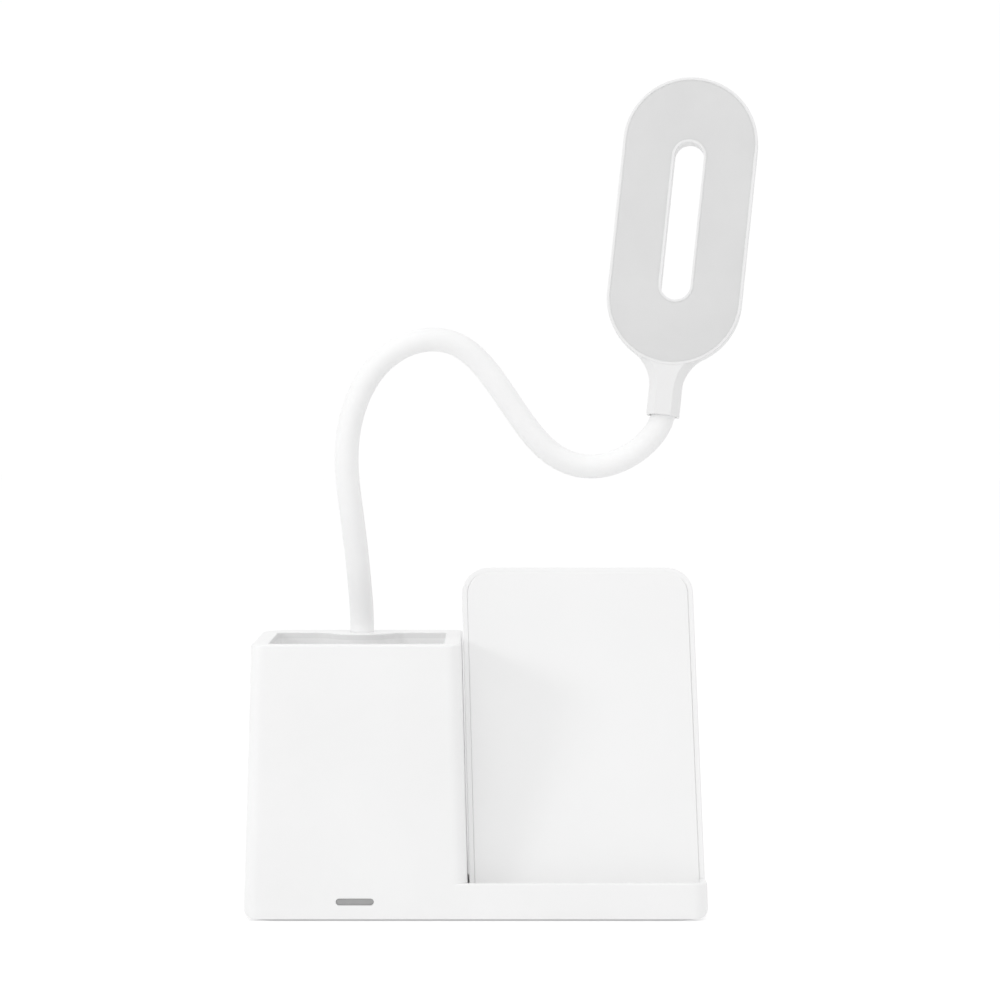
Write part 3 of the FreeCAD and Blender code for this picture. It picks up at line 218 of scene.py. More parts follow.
def solder_mask(name, tones, track, rough, axes=("X", "Y"), tilt=0):
    """Glass-epoxy board under solder mask: the copper under it shows as paler, slightly raised runs.

    Tracks are 0.3 to 0.6 mm wide and run along one of two axes within each block of the layout. Some
    blocks hold none, and small round vias stand between. A board that leans has a tilt, in degrees.
    """
    material, tree, place = start(name, IOR=1.55, Coat_Weight=0.4, Coat_Roughness=0.15)
    level = add(tree, "ShaderNodeMapping", {"Vector": place, "Rotation": (0, math.radians(-tilt), 0)})
    blocks = add(tree, CELLS, {"Vector": level, "Scale": 1 / (5 * track)}, distance="CHEBYCHEV")
    pick = add(tree, "ShaderNodeSeparateColor", {"Color": blocks.outputs["Color"]}).outputs
    at = add(tree, "ShaderNodeSeparateXYZ", {"Vector": level}).outputs
    across = add(tree, MATH, [pick["Red"], 0.5], operation="GREATER_THAN")
    filled = add(tree, MATH, [pick["Green"], 0.35], operation="GREATER_THAN")
    runs = []
    for axis in axes:
        beside = add(tree, MATH, [at[axis], track / 2], operation="PINGPONG")
        runs.append(add(tree, MATH, [beside, track * 0.13], operation="LESS_THAN"))
    turned_run = add(tree, "ShaderNodeMix", {0: across, 2: runs[0], 3: runs[1]})
    routed = add(tree, MATH, [turned_run, filled], operation="MULTIPLY")
    holes = add(tree, CELLS, {"Vector": level, "Scale": 1 / (1.6 * track)})
    vias = add(tree, MATH, [holes, 0.14], operation="LESS_THAN")
    copper = add(tree, MATH, [routed, vias], operation="MAXIMUM")
    weave = add(tree, NOISE, {"Vector": level, "Scale": 1 / (0.8 * MM)})
    return finished(material, copper, tones, weave, rough, copper, 0.035 * MM, 0.8)


def tinted_window():
    """Tinted acrylic lens with its back painted grey: an even grey with a clear, glossy skin over it."""
    material, tree, place = start("tinted_acrylic", IOR=1.49, Coat_Weight=0.6, Coat_Roughness=0.08)
    flow = wandering(tree, place, 6 * MM)
    return finished(material, flow, ("#9A9A9A", "#A0A0A0"), flow, (0.3, 0.38), flow, 0.003 * MM)


GREEN = ("#0C4A2A", "#1F6C40")
FINISH = {
    "shell_white": moulded_abs("moulded_abs", ("#F2F2F2", "#F5F5F5")),
    # Panel: polycarbonate under a soft-touch lacquer, which levels out over 1 to 2 mm as it dries.
    "panel_white": skinned("lacquered_polycarbonate", 70 * MM, ("#F2F2F2", "#F4F4F4"), 1.6 * MM, (0.36, 0.44),
            0.006 * MM, harsh=0.5, IOR=1.585, Coat_Weight=0.15, Coat_Roughness=0.35),
    # Diffuser: opal polycarbonate, a milky grey while the light is off.
    "diffuser_grey": skinned("opal_polycarbonate", 30 * MM, ("#D9D9D9", "#DDDDDD"), 0.5 * MM, (0.42, 0.52),
            0.008 * MM, IOR=1.585, Subsurface_Weight=0.25, Subsurface_Radius=(1, 1, 1),
            Subsurface_Scale=1.2 * MM, Specular_IOR_Level=0.45),
    # Sleeve: silicone rubber, extruded as a tube, matt and slightly soft.
    "silicone_white": skinned("extruded_silicone", 22 * MM, ("#F5F5F5", "#F8F8F8"), 0.7 * MM, (0.56, 0.68),
            0.012 * MM, 3.0, 0.65, IOR=1.41, Subsurface_Weight=0.03,
            Subsurface_Radius=(1.0, 0.95, 0.9), Subsurface_Scale=MM,
            Specular_IOR_Level=0.25),
    # Hose: hard-drawn spring wire under a grey film of oil, streaked by the die.
    "hose_steel": rolled_metal("drawn_spring_steel", ("#8C8D8F", "#B4B5B6"), (0.28, 0.42), 0.3 * MM, 1),
    "pad_grey": rubber("moulded_silicone_pad", ("#4A4A4C", "#67676A"), 0.9 * MM),
    # Weight: hot-rolled plate with a zinc wash, streaked along its length.
    "weight_steel": rolled_metal("rolled_steel_plate", ("#73767B", "#989BA0"), (0.42, 0.6), 0.8 * MM, 0),
    # Fittings: turned brass under bright nickel.
    "fitting_steel": rolled_metal("nickel_plate", ("#BDBCB8", "#D2D1CD"), (0.18, 0.3), 0.25 * MM, 0),
    # Screws: steel under zinc, passivated to a faint blue.
    "screw_steel": rolled_metal("zinc_plate", ("#A9AFB6", "#C7CCD1"), (0.24, 0.38), 0.3 * MM, 0),
    "board_green": solder_mask("green_solder_mask", GREEN, 1.3 * MM, (0.27, 0.4)),
    "board_white": solder_mask("white_solder_mask", ("#E6E6E3", "#F3F3F0"), 2.2 * MM, (0.35, 0.48),
            ("X", "Z"), 6.0),
    # Chips: epoxy filled with paler grains of silica.
    "parts_black": speckled("moulded_epoxy", ("#17181A", "#232427"), 0.25 * MM, (0.5, 0.65), 0.01 * MM,
            IOR=1.55),
    "window_grey": tinted_window(),
    # Contact: polyurethane foam under a conductive cloth.
    "foam_grey": speckled("conductive_foam", ("#55565A", "#6C6D71"), 0.4 * MM, (0.7, 0.9), 0.08 * MM,
            IOR=1.45),
    # Coil: copper under amber enamel.
    "coil_copper": rolled_metal("enamelled_copper", ("#B4652F", "#CF8246"), (0.2, 0.3), 0.2 * MM, 0),
    # Ferrite: sintered grains under a black film.
    "ferrite_dark": speckled("sintered_ferrite", ("#2B2B2E", "#38383C"), 0.5 * MM, (0.35, 0.5), 0.01 * MM,
            Coat_Weight=0.2, Coat_Roughness=0.25),
    "carrier_plastic": moulded_abs("natural_abs", ("#86878A", "#8E8F92")),
    # Phosphor: powder in silicone, an opaque yellow.
    "led_yellow": speckled("phosphor_silicone", ("#E5C24E", "#EFD069"), 0.12 * MM, (0.4, 0.55), 0.01 * MM,
            IOR=1.41, Subsurface_Weight=0.1, Subsurface_Scale=0.3 * MM),
    "lead_black": rubber("pvc_jacket", ("#18181A", "#2A2A2C"), 0.6 * MM, (0.62, 0.5), 0.02 * MM),
}
BLACK, TIN, FERRITE = FINISH["parts_black"], FINISH["screw_steel"], FINISH["ferrite_dark"]
PAD, COPPER = FINISH["pad_grey"], FINISH["coil_copper"]
# Contacts; sockets of the leads and frames of the lights.
GOLD = rolled_metal("gold_flash", ("#D9B36A", "#E6C583"), (0.2, 0.3), 0.2 * MM, 1)
NYLON = moulded_abs("moulded_nylon", ("#E2E1DC", "#EAE9E4"), (0.42, 0.55), 0.4 * MM)

# The cup liner has a lighter tone than the shell: painted light inside the cup. The head is greyer. Two
# boards stand up.
UPRIGHT_BOARD = solder_mask("upright_solder_mask", GREEN, 1.3 * MM, (0.27, 0.4), ("X", "Z"))
OWN_STOCK = {
    "charger_board": UPRIGHT_BOARD,
    "touch_board": UPRIGHT_BOARD,
    # Liner: lighter tone, painted light where the cup's walls keep light out.
    "pen_cup_liner": moulded_abs("liner_abs_painted_light", ("#FBFBFB", "#FDFDFD")),
    "head_shell": moulded_abs("moulded_abs_head", ("#EAEAEA", "#EDEDED")),
}

for entry in frame["record"]["subparts"]:
    node = frame["nodes"][entry["node"]]
    node.data.materials.clear()
    node.data.materials.append(OWN_STOCK.get(entry["node"]) or FINISH[entry["material_slot"]])


# ---- Meshes
def linked(name, data):
    """A new object at the origin."""
    piece = bpy.data.objects.new(name, data)
    bpy.context.scene.collection.objects.link(piece)
    return piece


def laid(name, points, steps=0, unit=MM):
    """Points, joined by a number of steps from the first on, for a tree to set things on."""
    mesh = bpy.data.meshes.new(name)
    edges = [(i, (i + 1) % len(points)) for i in range(steps)]
    mesh.from_pydata([tuple(Vector(p) * unit) for p in points], edges, [])
    return linked(name, mesh)


def circle(around):
    return [2 * math.pi * k / around for k in range(around)]


def quads(rows, around, closed=False):
    """Faces between rings of points, and from the last ring to the first if they close."""
    return [(i * around + k, i * around + (k + 1) % around,
             (i + 1) % rows * around + (k + 1) % around, (i + 1) % rows * around + k)
            for i in range(rows if closed else rows - 1) for k in range(around)]


def mesh_piece(name, verts, faces, material, rims=frozenset()):
    """Closed smooth mesh. Its faces point outwards, and edges between vertices of the rims stay sharp."""
    mesh = bpy.data.meshes.new(name)
    mesh.from_pydata([tuple(v) for v in verts], [], faces)
    work = bmesh.new()
    work.from_mesh(mesh)
    bmesh.ops.recalc_face_normals(work, faces=work.faces)
    for edge in work.edges:
        edge.smooth = not rims.issuperset(vert.index for vert in edge.verts)
    work.to_mesh(mesh)
    work.free()
    mesh.shade_smooth()
    mesh.materials.append(material)
    return linked(name, mesh)


def joined(name, parts):
    """Several meshes with their materials as one piece, at its place."""
    whole = bmesh.new()
    materials = list(dict.fromkeys(material for part in parts for material in part.data.materials))
    for part in parts:
        count = len(whole.faces)
        whole.from_mesh(part.data)
        whole.faces.ensure_lookup_table()
        for face in whole.faces[count:]:
            face.material_index = materials.index(part.data.materials[face.material_index])
        bpy.data.objects.remove(part)
    mesh = bpy.data.meshes.new(name)
    whole.to_mesh(mesh)
    whole.free()
    for material in materials:
        mesh.materials.append(material)
    return linked(name, mesh)


def moved(piece, matrix):
    piece.data.transform(matrix)
    return piece


def creased(piece, angle=35):
    """Smooth faces, with sharp edges where two meet at more than an angle."""
    piece.data.shade_smooth()
    piece.data.set_sharp_from_angle(angle=math.radians(angle))
    return piece


def dressed(piece, body, slot, *nodes):
    """Puts a finished piece on its body, in the place of the nodes that it stands for."""
    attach(piece, body)
    if nodes:
        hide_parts(*nodes)


# ---- Geometry trees
def node_tree(name, inputs, kinds=("Material",)):
    """Empty geometry tree, and its inputs: a geometry, numbers with usual values, and things by kind."""
    tree = bpy.data.node_groups.new(name, "GeometryNodeTree")
    new = tree.interface.new_socket
    new(name="Geometry", in_out="INPUT", socket_type="NodeSocketGeometry")
    for label, value in inputs.items():
        kind = {float: "Float", int: "Int", tuple: "Vector"}[type(value)]
        new(name=label, in_out="INPUT", socket_type="NodeSocket" + kind).default_value = value
    for kind in kinds:
        new(name=kind, in_out="INPUT", socket_type="NodeSocket" + kind)
    new(name="Geometry", in_out="OUTPUT", socket_type="NodeSocketGeometry")
    return tree, add(tree, "NodeGroupInput").outputs


def closed_tree(tree, parts, material):
    """Ends a tree: its parts become one mesh, which takes the material."""
    both = add(tree, "GeometryNodeJoinGeometry")
    for part in parts:
        join(both, {"Geometry": part})
    whole = add(tree, "GeometryNodeRealizeInstances", {"Geometry": both})
    finish = add(tree, "GeometryNodeSetMaterial", {"Geometry": whole, "Material": material})
    add(tree, "NodeGroupOutput", {"Geometry": finish})
    return tree


def grown(name, tree, values, source=None):
    """Plain mesh from a tree of nodes, whose named inputs take the values."""
    piece = source or linked(name, bpy.data.meshes.new(name))
    modifier = piece.modifiers.new("shape", "NODES")
    modifier.node_group = tree
    sockets = {item.name: item.identifier for item in tree.interface.items_tree if item.in_out == "INPUT"}
    for label, value in values.items():
        modifier[sockets[label]] = value
    bpy.context.view_layer.update()
    graph = bpy.context.evaluated_depsgraph_get()
    mesh = bpy.data.meshes.new_from_object(piece.evaluated_get(graph))
    bpy.data.objects.remove(piece)
    return linked(name, mesh)


# ---- Gooseneck: sleeve and hose
def hinge_places():
    """Centre of the arm at each hinge and in the middle of each link, from the hose's foot to the neck."""
    place, heading = ARM, ARM_START
    places = [Vector((ARM.x, ARM.y, z)) for z in (HOSE_FOOT, HOSE_FOOT + HOSE_STEADY, ARM.z)]
    for turn in ARM_TURNS:
        half = math.radians(turn) / 2
        chord = HALF_LINK * math.sin(half) / half
        angle = math.radians(heading) + half
        place = place + Vector((math.cos(angle), 0, math.sin(angle))) * chord
        heading += turn
        places.append(place)
    return places


def head_frame():
    """Matrix from the head's own directions to the lamp's."""
    turn = Matrix.Identity(3)
    for axis, angle in HEAD_TURNS:
        turn = turn @ Matrix.Rotation(math.radians(angle), 3, axis)
    return Matrix.Translation(hinge_places()[-1] - turn @ NECK_MOUTH * MM) @ turn.to_4x4()


def rest_frame():
    """Matrix from the phone rest's own directions to the lamp's."""
    return Matrix.Translation(REST_FOOT * MM) @ Matrix.Rotation(math.radians(90 - REST_LEAN), 4, "X")


class Arm:
    """Smooth line through the arm's places."""

    def __init__(self):
        self.neck = head_frame().to_3x3() @ Vector((0, 1, 0))
        places = hinge_places()
        tip = places[-1]
        places += [tip + self.neck * NECK_STEADY, tip + self.neck * HOSE_IN_NECK]
        self.points = np.array([list(p) for p in places])
        steps = np.linalg.norm(np.diff(self.points, axis=0), axis=1)
        self.at = np.append(0, np.cumsum(steps))
        slopes = np.vstack([[(0, 0, 1)], np.diff(self.points, axis=0) / steps[:, None], [self.neck]])
        both = 2 * (np.append(0, steps) + np.append(steps, 0))
        matrix = np.diag(both) + np.diag(steps, 1) + np.diag(steps, -1)
        self.bends = np.linalg.solve(matrix, 6 * np.diff(slopes, axis=0))

    def hinge(self, number):
        """How far along the arm a hinge is; halves are the middles of links."""
        return self.at[2 + round(2 * (number - 1))]

    def __call__(self, s):
        """Point and direction of the arm at a distance from its foot."""
        i = min(max(int(np.searchsorted(self.at, s, side="right")) - 1, 0), len(self.at) - 2)
        h = self.at[i + 1] - self.at[i]
        a, b = (self.at[i + 1] - s) / h, (s - self.at[i]) / h
        p, q = self.points[i], self.points[i + 1]
        u, v = self.bends[i], self.bends[i + 1]
        point = a * p + b * q + ((a ** 3 - a) * u + (b ** 3 - b) * v) * h * h / 6
        slope = (q - p) / h + (-(3 * a * a - 1) * u + (3 * b * b - 1) * v) * h / 6
        return Vector(point), Vector(slope).normalized()

    def rings(self, stations, radii, around):
        """Points of a ring at each station along the arm."""
        verts = []
        for s, radius in zip(stations, radii):
            point, heading = self(s)
            side = Vector((0, 1, 0)).cross(heading).normalized()
            up = heading.cross(side)
            verts += [point + (side * math.cos(angle) + up * math.sin(angle)) * radius
                      for angle in circle(around)]
        return verts


def sleeve_skin(arm, name, low, high, mouth=None):
    """Length of silicone tube with its bore. Inside the neck it swells into a collar."""
    around, edge = 56, 0.05 * MM
    count = max(4, round((high - low) / (1.1 * MM)))
    inner = np.linspace(low, high, count)
    stations = np.concatenate([[low], np.linspace(low + edge, high - edge, count), [high]])
    swell = np.full(len(stations), SLEEVE_R)
    if mouth is not None:
        stations = np.sort(np.concatenate([stations, [mouth + step for step in COLLAR]]))
        swell = np.interp(stations - mouth, COLLAR, (SLEEVE_R, COLLAR_R, COLLAR_R, SLEEVE_R))
    rows = list(stations) + list(inner[::-1])
    verts = arm.rings(rows, list(swell) + [SLEEVE_BORE_R] * count, around)
    last = len(stations) - 1
    rims = {row * around + k for row in (0, last, last + 1, len(rows) - 1) for k in range(around)}
    return mesh_piece(name, verts, quads(len(rows), around, True), FINISH["silicone_white"], rims)


def wound_hose():
    """Tree: a round spring wire and a three-sided wire between its turns, wound along a line of edges."""
    tree, given = node_tree("wound_hose", {
        "Pitch": 1.3 * MM, "Wire": 0.6 * MM, "Winding": 3.3 * MM, "Filler": 0.5 * MM})
    line = add(tree, "GeometryNodeMeshToCurve", {"Mesh": given["Geometry"]})
    step = add(tree, MATH, [given["Pitch"], 12.0], operation="DIVIDE")
    fine = add(tree, "GeometryNodeResampleCurve", {"Curve": line, "Length": step}, mode="LENGTH")
    along = add(tree, "GeometryNodeSplineParameter").outputs["Length"]
    normal, tangent = add(tree, "GeometryNodeInputNormal"), add(tree, "GeometryNodeInputTangent")
    aside = add(tree, VECTOR, {0: normal, "Scale": given["Winding"]}, operation="SCALE")
    turns = add(tree, MATH, [along, given["Pitch"]], operation="DIVIDE")
    wires = []
    for shift, radius, sides in ((0.0, "Wire", 10), (0.5, "Filler", 3)):
        angle = add(tree, MATH, [turns, 2 * math.pi, 2 * math.pi * shift], operation="MULTIPLY_ADD")
        offset = add(tree, "ShaderNodeVectorRotate", {"Vector": aside, "Axis": tangent, "Angle": angle})
        helix = add(tree, "GeometryNodeSetPosition", {"Geometry": fine, "Offset": offset})
        section = add(tree, "GeometryNodeCurvePrimitiveCircle", {
            "Resolution": sides, "Radius": given[radius]})
        wires.append(add(tree, "GeometryNodeCurveToMesh", {
            "Curve": helix, "Profile Curve": section, "Fill Caps": True}))
    return closed_tree(tree, wires, given["Material"])


def hose_spring(arm, tree, name, low, high):
    stations = np.linspace(low, high, max(6, round((high - low) / (0.8 * MM))))
    line = laid(name + "_line", [arm(s)[0] for s in stations], len(stations) - 1, 1.0)
    return grown(name, tree, {"Material": FINISH["hose_steel"]}, line)


def gooseneck():
    """One length of sleeve and hose for each hinge, each reaching over its own hinge."""
    arm, tree = Arm(), wound_hose()
    for number in range(1, HINGES + 1):
        first, last = number == 1, number == HINGES
        middle = arm.hinge(number)
        place, heading = arm(middle)
        heading = arm.neck if last else heading
        for kind, foot, in_neck, slot in (
                ("sleeve", SLEEVE_FOOT - HOSE_FOOT, SLEEVE_IN_NECK, "silicone_white"),
                ("hose", 0.0, HOSE_IN_NECK, "hose_steel")):
            low = foot if first else arm.hinge(number - 0.5)
            high = middle + in_neck if last else arm.hinge(number + 0.5)
            if kind == "sleeve":
                mouth = middle if last else None
                piece = sleeve_skin(arm, f"silicone_sleeve_{number:02d}", low, high, mouth)
            else:
                piece = hose_spring(arm, tree, f"spring_hose_{number:02d}", low, high)
            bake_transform(piece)
            nodes = [kind + ("_root" if first else f"_link_{number - 1:02d}")]
            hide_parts(*nodes, *([kind + "_tip"] if last else []))


gooseneck()


# ---- Screws
def pan_screws():
    """Tree: at each point a pan head with a cross recess, over a threaded shank, facing a direction.

    Sizes are in mm until the screw is whole, because cutting needs faces of a fair size."""
    tree, given = node_tree("pan_screws", {
        "Head radius": 2.3, "Head height": 1.2, "Crown": 0.4, "Cross length": 2.6, "Cross width": 0.6,
        "Shank radius": 1.1, "Shank length": 5.0, "Pitch": 0.9, "Rings": 24,
        "Direction": (0.0, 0.0, 1.0), "Seed": 3})
    tall = given["Head height"]
    shift = {share: add(tree, VECTOR, {0: (0, 0, share), "Scale": size}, operation="SCALE")
             for share, size in ((0.5, tall), (0.95, tall), (-0.5, given["Shank length"]))}
    place = add(tree, "GeometryNodeInputPosition")
    at = add(tree, "ShaderNodeSeparateXYZ", [place]).outputs
    flat = add(tree, VECTOR, [place, (1, 1, 0)], operation="MULTIPLY")
    reach = add(tree, VECTOR, [flat], operation="LENGTH").outputs["Value"]

    # Head: its crown falls with the fourth power of the distance from the middle.
    disc = add(tree, "GeometryNodeMeshCylinder", {
        "Vertices": 32, "Side Segments": 1, "Fill Segments": 6,
        "Radius": given["Head radius"], "Depth": tall}, fill_type="TRIANGLE_FAN")
    drop = reach
    for operation, second in (
            ("DIVIDE", given["Head radius"]), ("POWER", 4.0), ("MULTIPLY", given["Crown"])):
        drop = add(tree, MATH, [drop, second], operation=operation)
    fall = add(tree, VECTOR, {0: (0, 0, -1), "Scale": drop}, operation="SCALE")
    upper = add(tree, MATH, [at["Z"], 0.0], operation="GREATER_THAN")
    crowned = add(tree, "GeometryNodeSetPosition", {"Geometry": disc, "Selection": upper, "Offset": fall})
    head = add(tree, "GeometryNodeTransform", {"Geometry": crowned, "Translation": shift[0.5]})
    recessed = add(tree, "GeometryNodeMeshBoolean", {"Mesh 1": head}, operation="DIFFERENCE", solver="EXACT")
    for x, y in (("Cross length", "Cross width"), ("Cross width", "Cross length")):
        size = add(tree, "ShaderNodeCombineXYZ", [given[x], given[y], tall])
        bar = add(tree, "GeometryNodeMeshCube", {"Size": size})
        raised = add(tree, "GeometryNodeTransform", {"Geometry": bar, "Translation": shift[0.95]})
        join(recessed, {"Mesh 2": raised})

    # Shank: its thread is a ridge that climbs one pitch in a turn.
    rod = add(tree, "GeometryNodeMeshCylinder", {
        "Vertices": 16, "Side Segments": given["Rings"], "Radius": given["Shank radius"],
        "Depth": given["Shank length"]}, fill_type="TRIANGLE_FAN")
    climb = add(tree, MATH, [at["Z"], given["Pitch"]], operation="DIVIDE")
    ridge = add(tree, MATH, [given["Shank radius"], -0.4], operation="MULTIPLY")
    from_axis = add(tree, MATH, [reach, 0.1], operation="MAXIMUM")
    shrink = at["Y"]
    for operation, second in (
            ("ARCTAN2", at["X"]), ("DIVIDE", 2 * math.pi), ("ADD", climb), ("PINGPONG", 0.5),
            ("MULTIPLY", ridge), ("DIVIDE", from_axis)):
        shrink = add(tree, MATH, [shrink, second], operation=operation)
    inward = add(tree, VECTOR, {0: flat, "Scale": shrink}, operation="SCALE")
    threaded = add(tree, "GeometryNodeSetPosition", {"Geometry": rod, "Offset": inward})
    shank = add(tree, "GeometryNodeTransform", {"Geometry": threaded, "Translation": shift[-0.5]})

    screw = add(tree, "GeometryNodeJoinGeometry")
    for part in (shank, recessed):
        join(screw, {"Geometry": part})
    sized = add(tree, "GeometryNodeTransform", {"Geometry": screw, "Scale": (MM, MM, MM)})
    facing = add(tree, "FunctionNodeAlignRotationToVector", {"Vector": given["Direction"]}, axis="Z")
    placed = add(tree, "GeometryNodeInstanceOnPoints", {
        "Points": given["Geometry"], "Instance": sized, "Rotation": facing})
    stop = add(tree, "FunctionNodeRandomValue", {
        "Min": (0, 0, 0), "Max": (0, 0, 2 * math.pi), "Seed": given["Seed"]}, data_type="FLOAT_VECTOR")
    turned_home = add(tree, "GeometryNodeRotateInstances", {
        "Instances": placed, "Rotation": stop, "Local Space": True})
    return closed_tree(tree, [turned_home], given["Material"])


def screws():
    tree = pan_screws()
    rest = rest_frame()
    down, back = Vector((0, 0, -1)), rest.to_3x3() @ Vector((0, 0, -1))
    backs = [rest @ (Vector(place) * MM) / MM for place in BACK_SCREWS]
    for name, places, direction, length, node in (
            ("cover_screws", COVER_SCREWS, down, 5.25, "bottom_screws"),
            ("board_hold_screws", BOARD_SCREWS, down, 5.85, "board_screws"),
            ("rest_foot_screws", FOOT_SCREWS, down, 6.25, "rest_screws"),
            ("rest_back_screws", backs, back, 4.95, "rest_screws")):
        piece = grown(name, tree, {
            "Shank length": length, "Rings": round(length * 5), "Direction": tuple(direction),
            "Seed": len(name), "Material": TIN}, laid(name, places))
        dressed(creased(piece), "base", "screw_steel", node)
    # Light board: smaller flat heads.
    piece = grown("light_board_screws", tree, {
        "Head radius": 1.9, "Head height": 1.0, "Crown": 0.3, "Cross length": 2.0, "Cross width": 0.5,
        "Shank radius": 0.83, "Shank length": 2.8, "Pitch": 0.6, "Rings": 16, "Material": TIN},
        laid("light_board_screws", LIGHT_BOARD_SCREWS))
    dressed(creased(moved(piece, head_frame())), "head", "screw_steel", "head_screws")


screws()


# ---- Small shapes, and what repeats and winds them
def rounded_loop(corners, radii, steps=4):
    """Points round a polygon whose corners are arcs, the same number of them for any size."""
    points = []
    count = len(corners)
    for i, radius in enumerate(radii):
        before, here, after = (Vector(corners[(i + k) % count]) for k in (-1, 0, 1))
        back, ahead = (before - here).normalized(), (after - here).normalized()
        half = back.angle(ahead) / 2
        middle = here + (back + ahead).normalized() * radius / math.sin(half)
        first = here + back * radius / math.tan(half) - middle
        sweep = (math.pi - 2 * half) * (1 if back.cross(ahead) < 0 else -1)
        for k in range(steps + 1):
            points.append(middle + Matrix.Rotation(sweep * k / steps, 2) @ first)
    return points


def lofted(name, rings, material):
    """Closed shape over rings of points in mm, with its first and last ring filled."""
    around = len(rings[0])
    last = (len(rings) - 1) * around
    faces = quads(len(rings), around) + [tuple(range(around)), tuple(range(last, last + around))]
    return creased(mesh_piece(name, [Vector(p) * MM for ring in rings for p in ring], faces, material))


def rounded_ring(width, deep, corner, height, middle=(0, 0), steps=2):
    """Rounded rectangle at a height."""
    x, y = width / 2, deep / 2
    ring = rounded_loop([(-x, -y), (x, -y), (x, y), (-x, y)], [corner] * 4, steps)
    return [(p.x + middle[0], p.y + middle[1], height) for p in ring]


def stacked(name, rows, material, middle=(0, 0), steps=2):
    """Closed shape from rounded rectangles one after another, as (width, depth, corner, height) in mm."""
    return lofted(name, [rounded_ring(*row, middle, steps) for row in rows], material)


def block(name, width, deep, corner, heights, material, middle=(0, 0)):
    """Plain block between two heights."""
    return stacked(name, [(width, deep, corner, height) for height in heights], material, middle)


def turned(name, outline, material, middle=(0, 0), around=28):
    """Shape turned about an upright axis from (radius, height) pairs in mm, closed at both ends."""
    rings = [[(middle[0] + radius * math.cos(angle), middle[1] + radius * math.sin(angle), height)
              for angle in circle(around)] for radius, height in outline]
    return lofted(name, rings, material)


def set_along():
    """Tree: a small shape repeated along a line of edges at even steps, its X along the line."""
    tree, given = node_tree("set_along", {"Count": 8}, ("Object", "Material"))
    line = add(tree, "GeometryNodeMeshToCurve", {"Mesh": given["Geometry"]})
    steps = add(tree, "GeometryNodeResampleCurve", {"Curve": line, "Count": given["Count"]})
    shape = add(tree, "GeometryNodeObjectInfo", {"Object": given["Object"]}).outputs["Geometry"]
    heading = add(tree, "GeometryNodeInputTangent")
    facing = add(tree, "FunctionNodeAlignRotationToVector", {"Vector": heading}, axis="X", pivot_axis="Z")
    placed = add(tree, "GeometryNodeInstanceOnPoints", {
        "Points": steps, "Instance": shape, "Rotation": facing})
    return closed_tree(tree, [placed], given["Material"])


def wound_coil():
    """Tree: one layer of round wire wound about the middle, flat as a spiral or rising as a spring."""
    tree, given = node_tree("wound_coil", {
        "Turns": 13.5, "Inside": 10.4 * MM, "Outside": 21.55 * MM, "Rise": 0.0, "Wire": 0.38 * MM})
    spiral = add(tree, "GeometryNodeCurveSpiral", {
        "Resolution": 56, "Rotations": given["Turns"], "Start Radius": given["Inside"],
        "End Radius": given["Outside"], "Height": given["Rise"]})
    section = add(tree, "GeometryNodeCurvePrimitiveCircle", {"Resolution": 8, "Radius": given["Wire"]})
    wire = add(tree, "GeometryNodeCurveToMesh", {
        "Curve": spiral, "Profile Curve": section, "Fill Caps": True})
    return closed_tree(tree, [wire], given["Material"])


ROWS, WINDINGS = set_along(), wound_coil()


def repeated(name, shape, line, count, steps=1):
    """Copies of a shape at even distances along a line in mm, as one mesh. The shape itself goes."""
    values = {"Count": count, "Object": shape, "Material": shape.data.materials[0]}
    made = grown(name, ROWS, values, laid(name + "_line", line, steps))
    bpy.data.objects.remove(shape)
    return creased(made)


def studded_sheet():
    """Tree: a sheet with round studs under it, on a grid."""
    tree, given = node_tree("studded_sheet", {
        "Width": 144 * MM, "Depth": 54 * MM, "Across": 25, "Deep": 10, "Stud": 1.6 * MM, "Tall": 0.6 * MM})
    grid = add(tree, "GeometryNodeMeshGrid", {
        "Size X": given["Width"], "Size Y": given["Depth"],
        "Vertices X": given["Across"], "Vertices Y": given["Deep"]})
    foot = add(tree, MATH, [given["Stud"], 0.7], operation="MULTIPLY")
    stud = add(tree, "GeometryNodeMeshCone", {
        "Vertices": 12, "Radius Top": given["Stud"], "Radius Bottom": foot, "Depth": given["Tall"]})
    placed = add(tree, "GeometryNodeInstanceOnPoints", {"Points": grid, "Instance": stud})
    return closed_tree(tree, [given["Geometry"], placed], given["Material"])


# ---- Parts on the boards: x and y in mm, heights from the board
def leg_shape():
    """Gull-wing leg: out of the side of a chip, down, and flat on its pad."""
    side = [(-0.1, 0.62), (0.25, 0.62), (0.42, 0.15), (0.8, 0.13),
            (0.8, 0), (0.3, 0), (0.14, 0.47), (-0.1, 0.47)]
    return lofted("leg", [[(x, y, z) for y, z in side] for x in (-0.16, 0.16)], TIN)


def chip(x, y, width, deep, height, legs=0):
    """Moulded chip with a draft on its sides, a mark at its first leg, and legs front and back."""
    body = deep - (1.2 if legs else 0)
    mark = (x - width / 2 + 0.8, y - body / 2 + 0.8)
    parts = [
        stacked("chip", [
            (width - 0.1, body - 0.1, 0.15, 0.08), (width, body, 0.2, height / 2),
            (width - 0.12, body - 0.12, 0.2, height - 0.05), (width - 0.3, body - 0.3, 0.2, height)],
            BLACK, (x, y)),
        turned("mark", [(0.35, height - 0.1), (0.35, height), (0.28, height)], PAD, mark, 16)]
    for end in (-1, 1) if legs else ():
        edge = y + end * body / 2
        reach = end * (width / 2 - 0.7)
        line = [(x + reach, edge, 0), (x - reach, edge, 0)]
        parts.append(repeated("legs", leg_shape(), line, legs))
    return parts


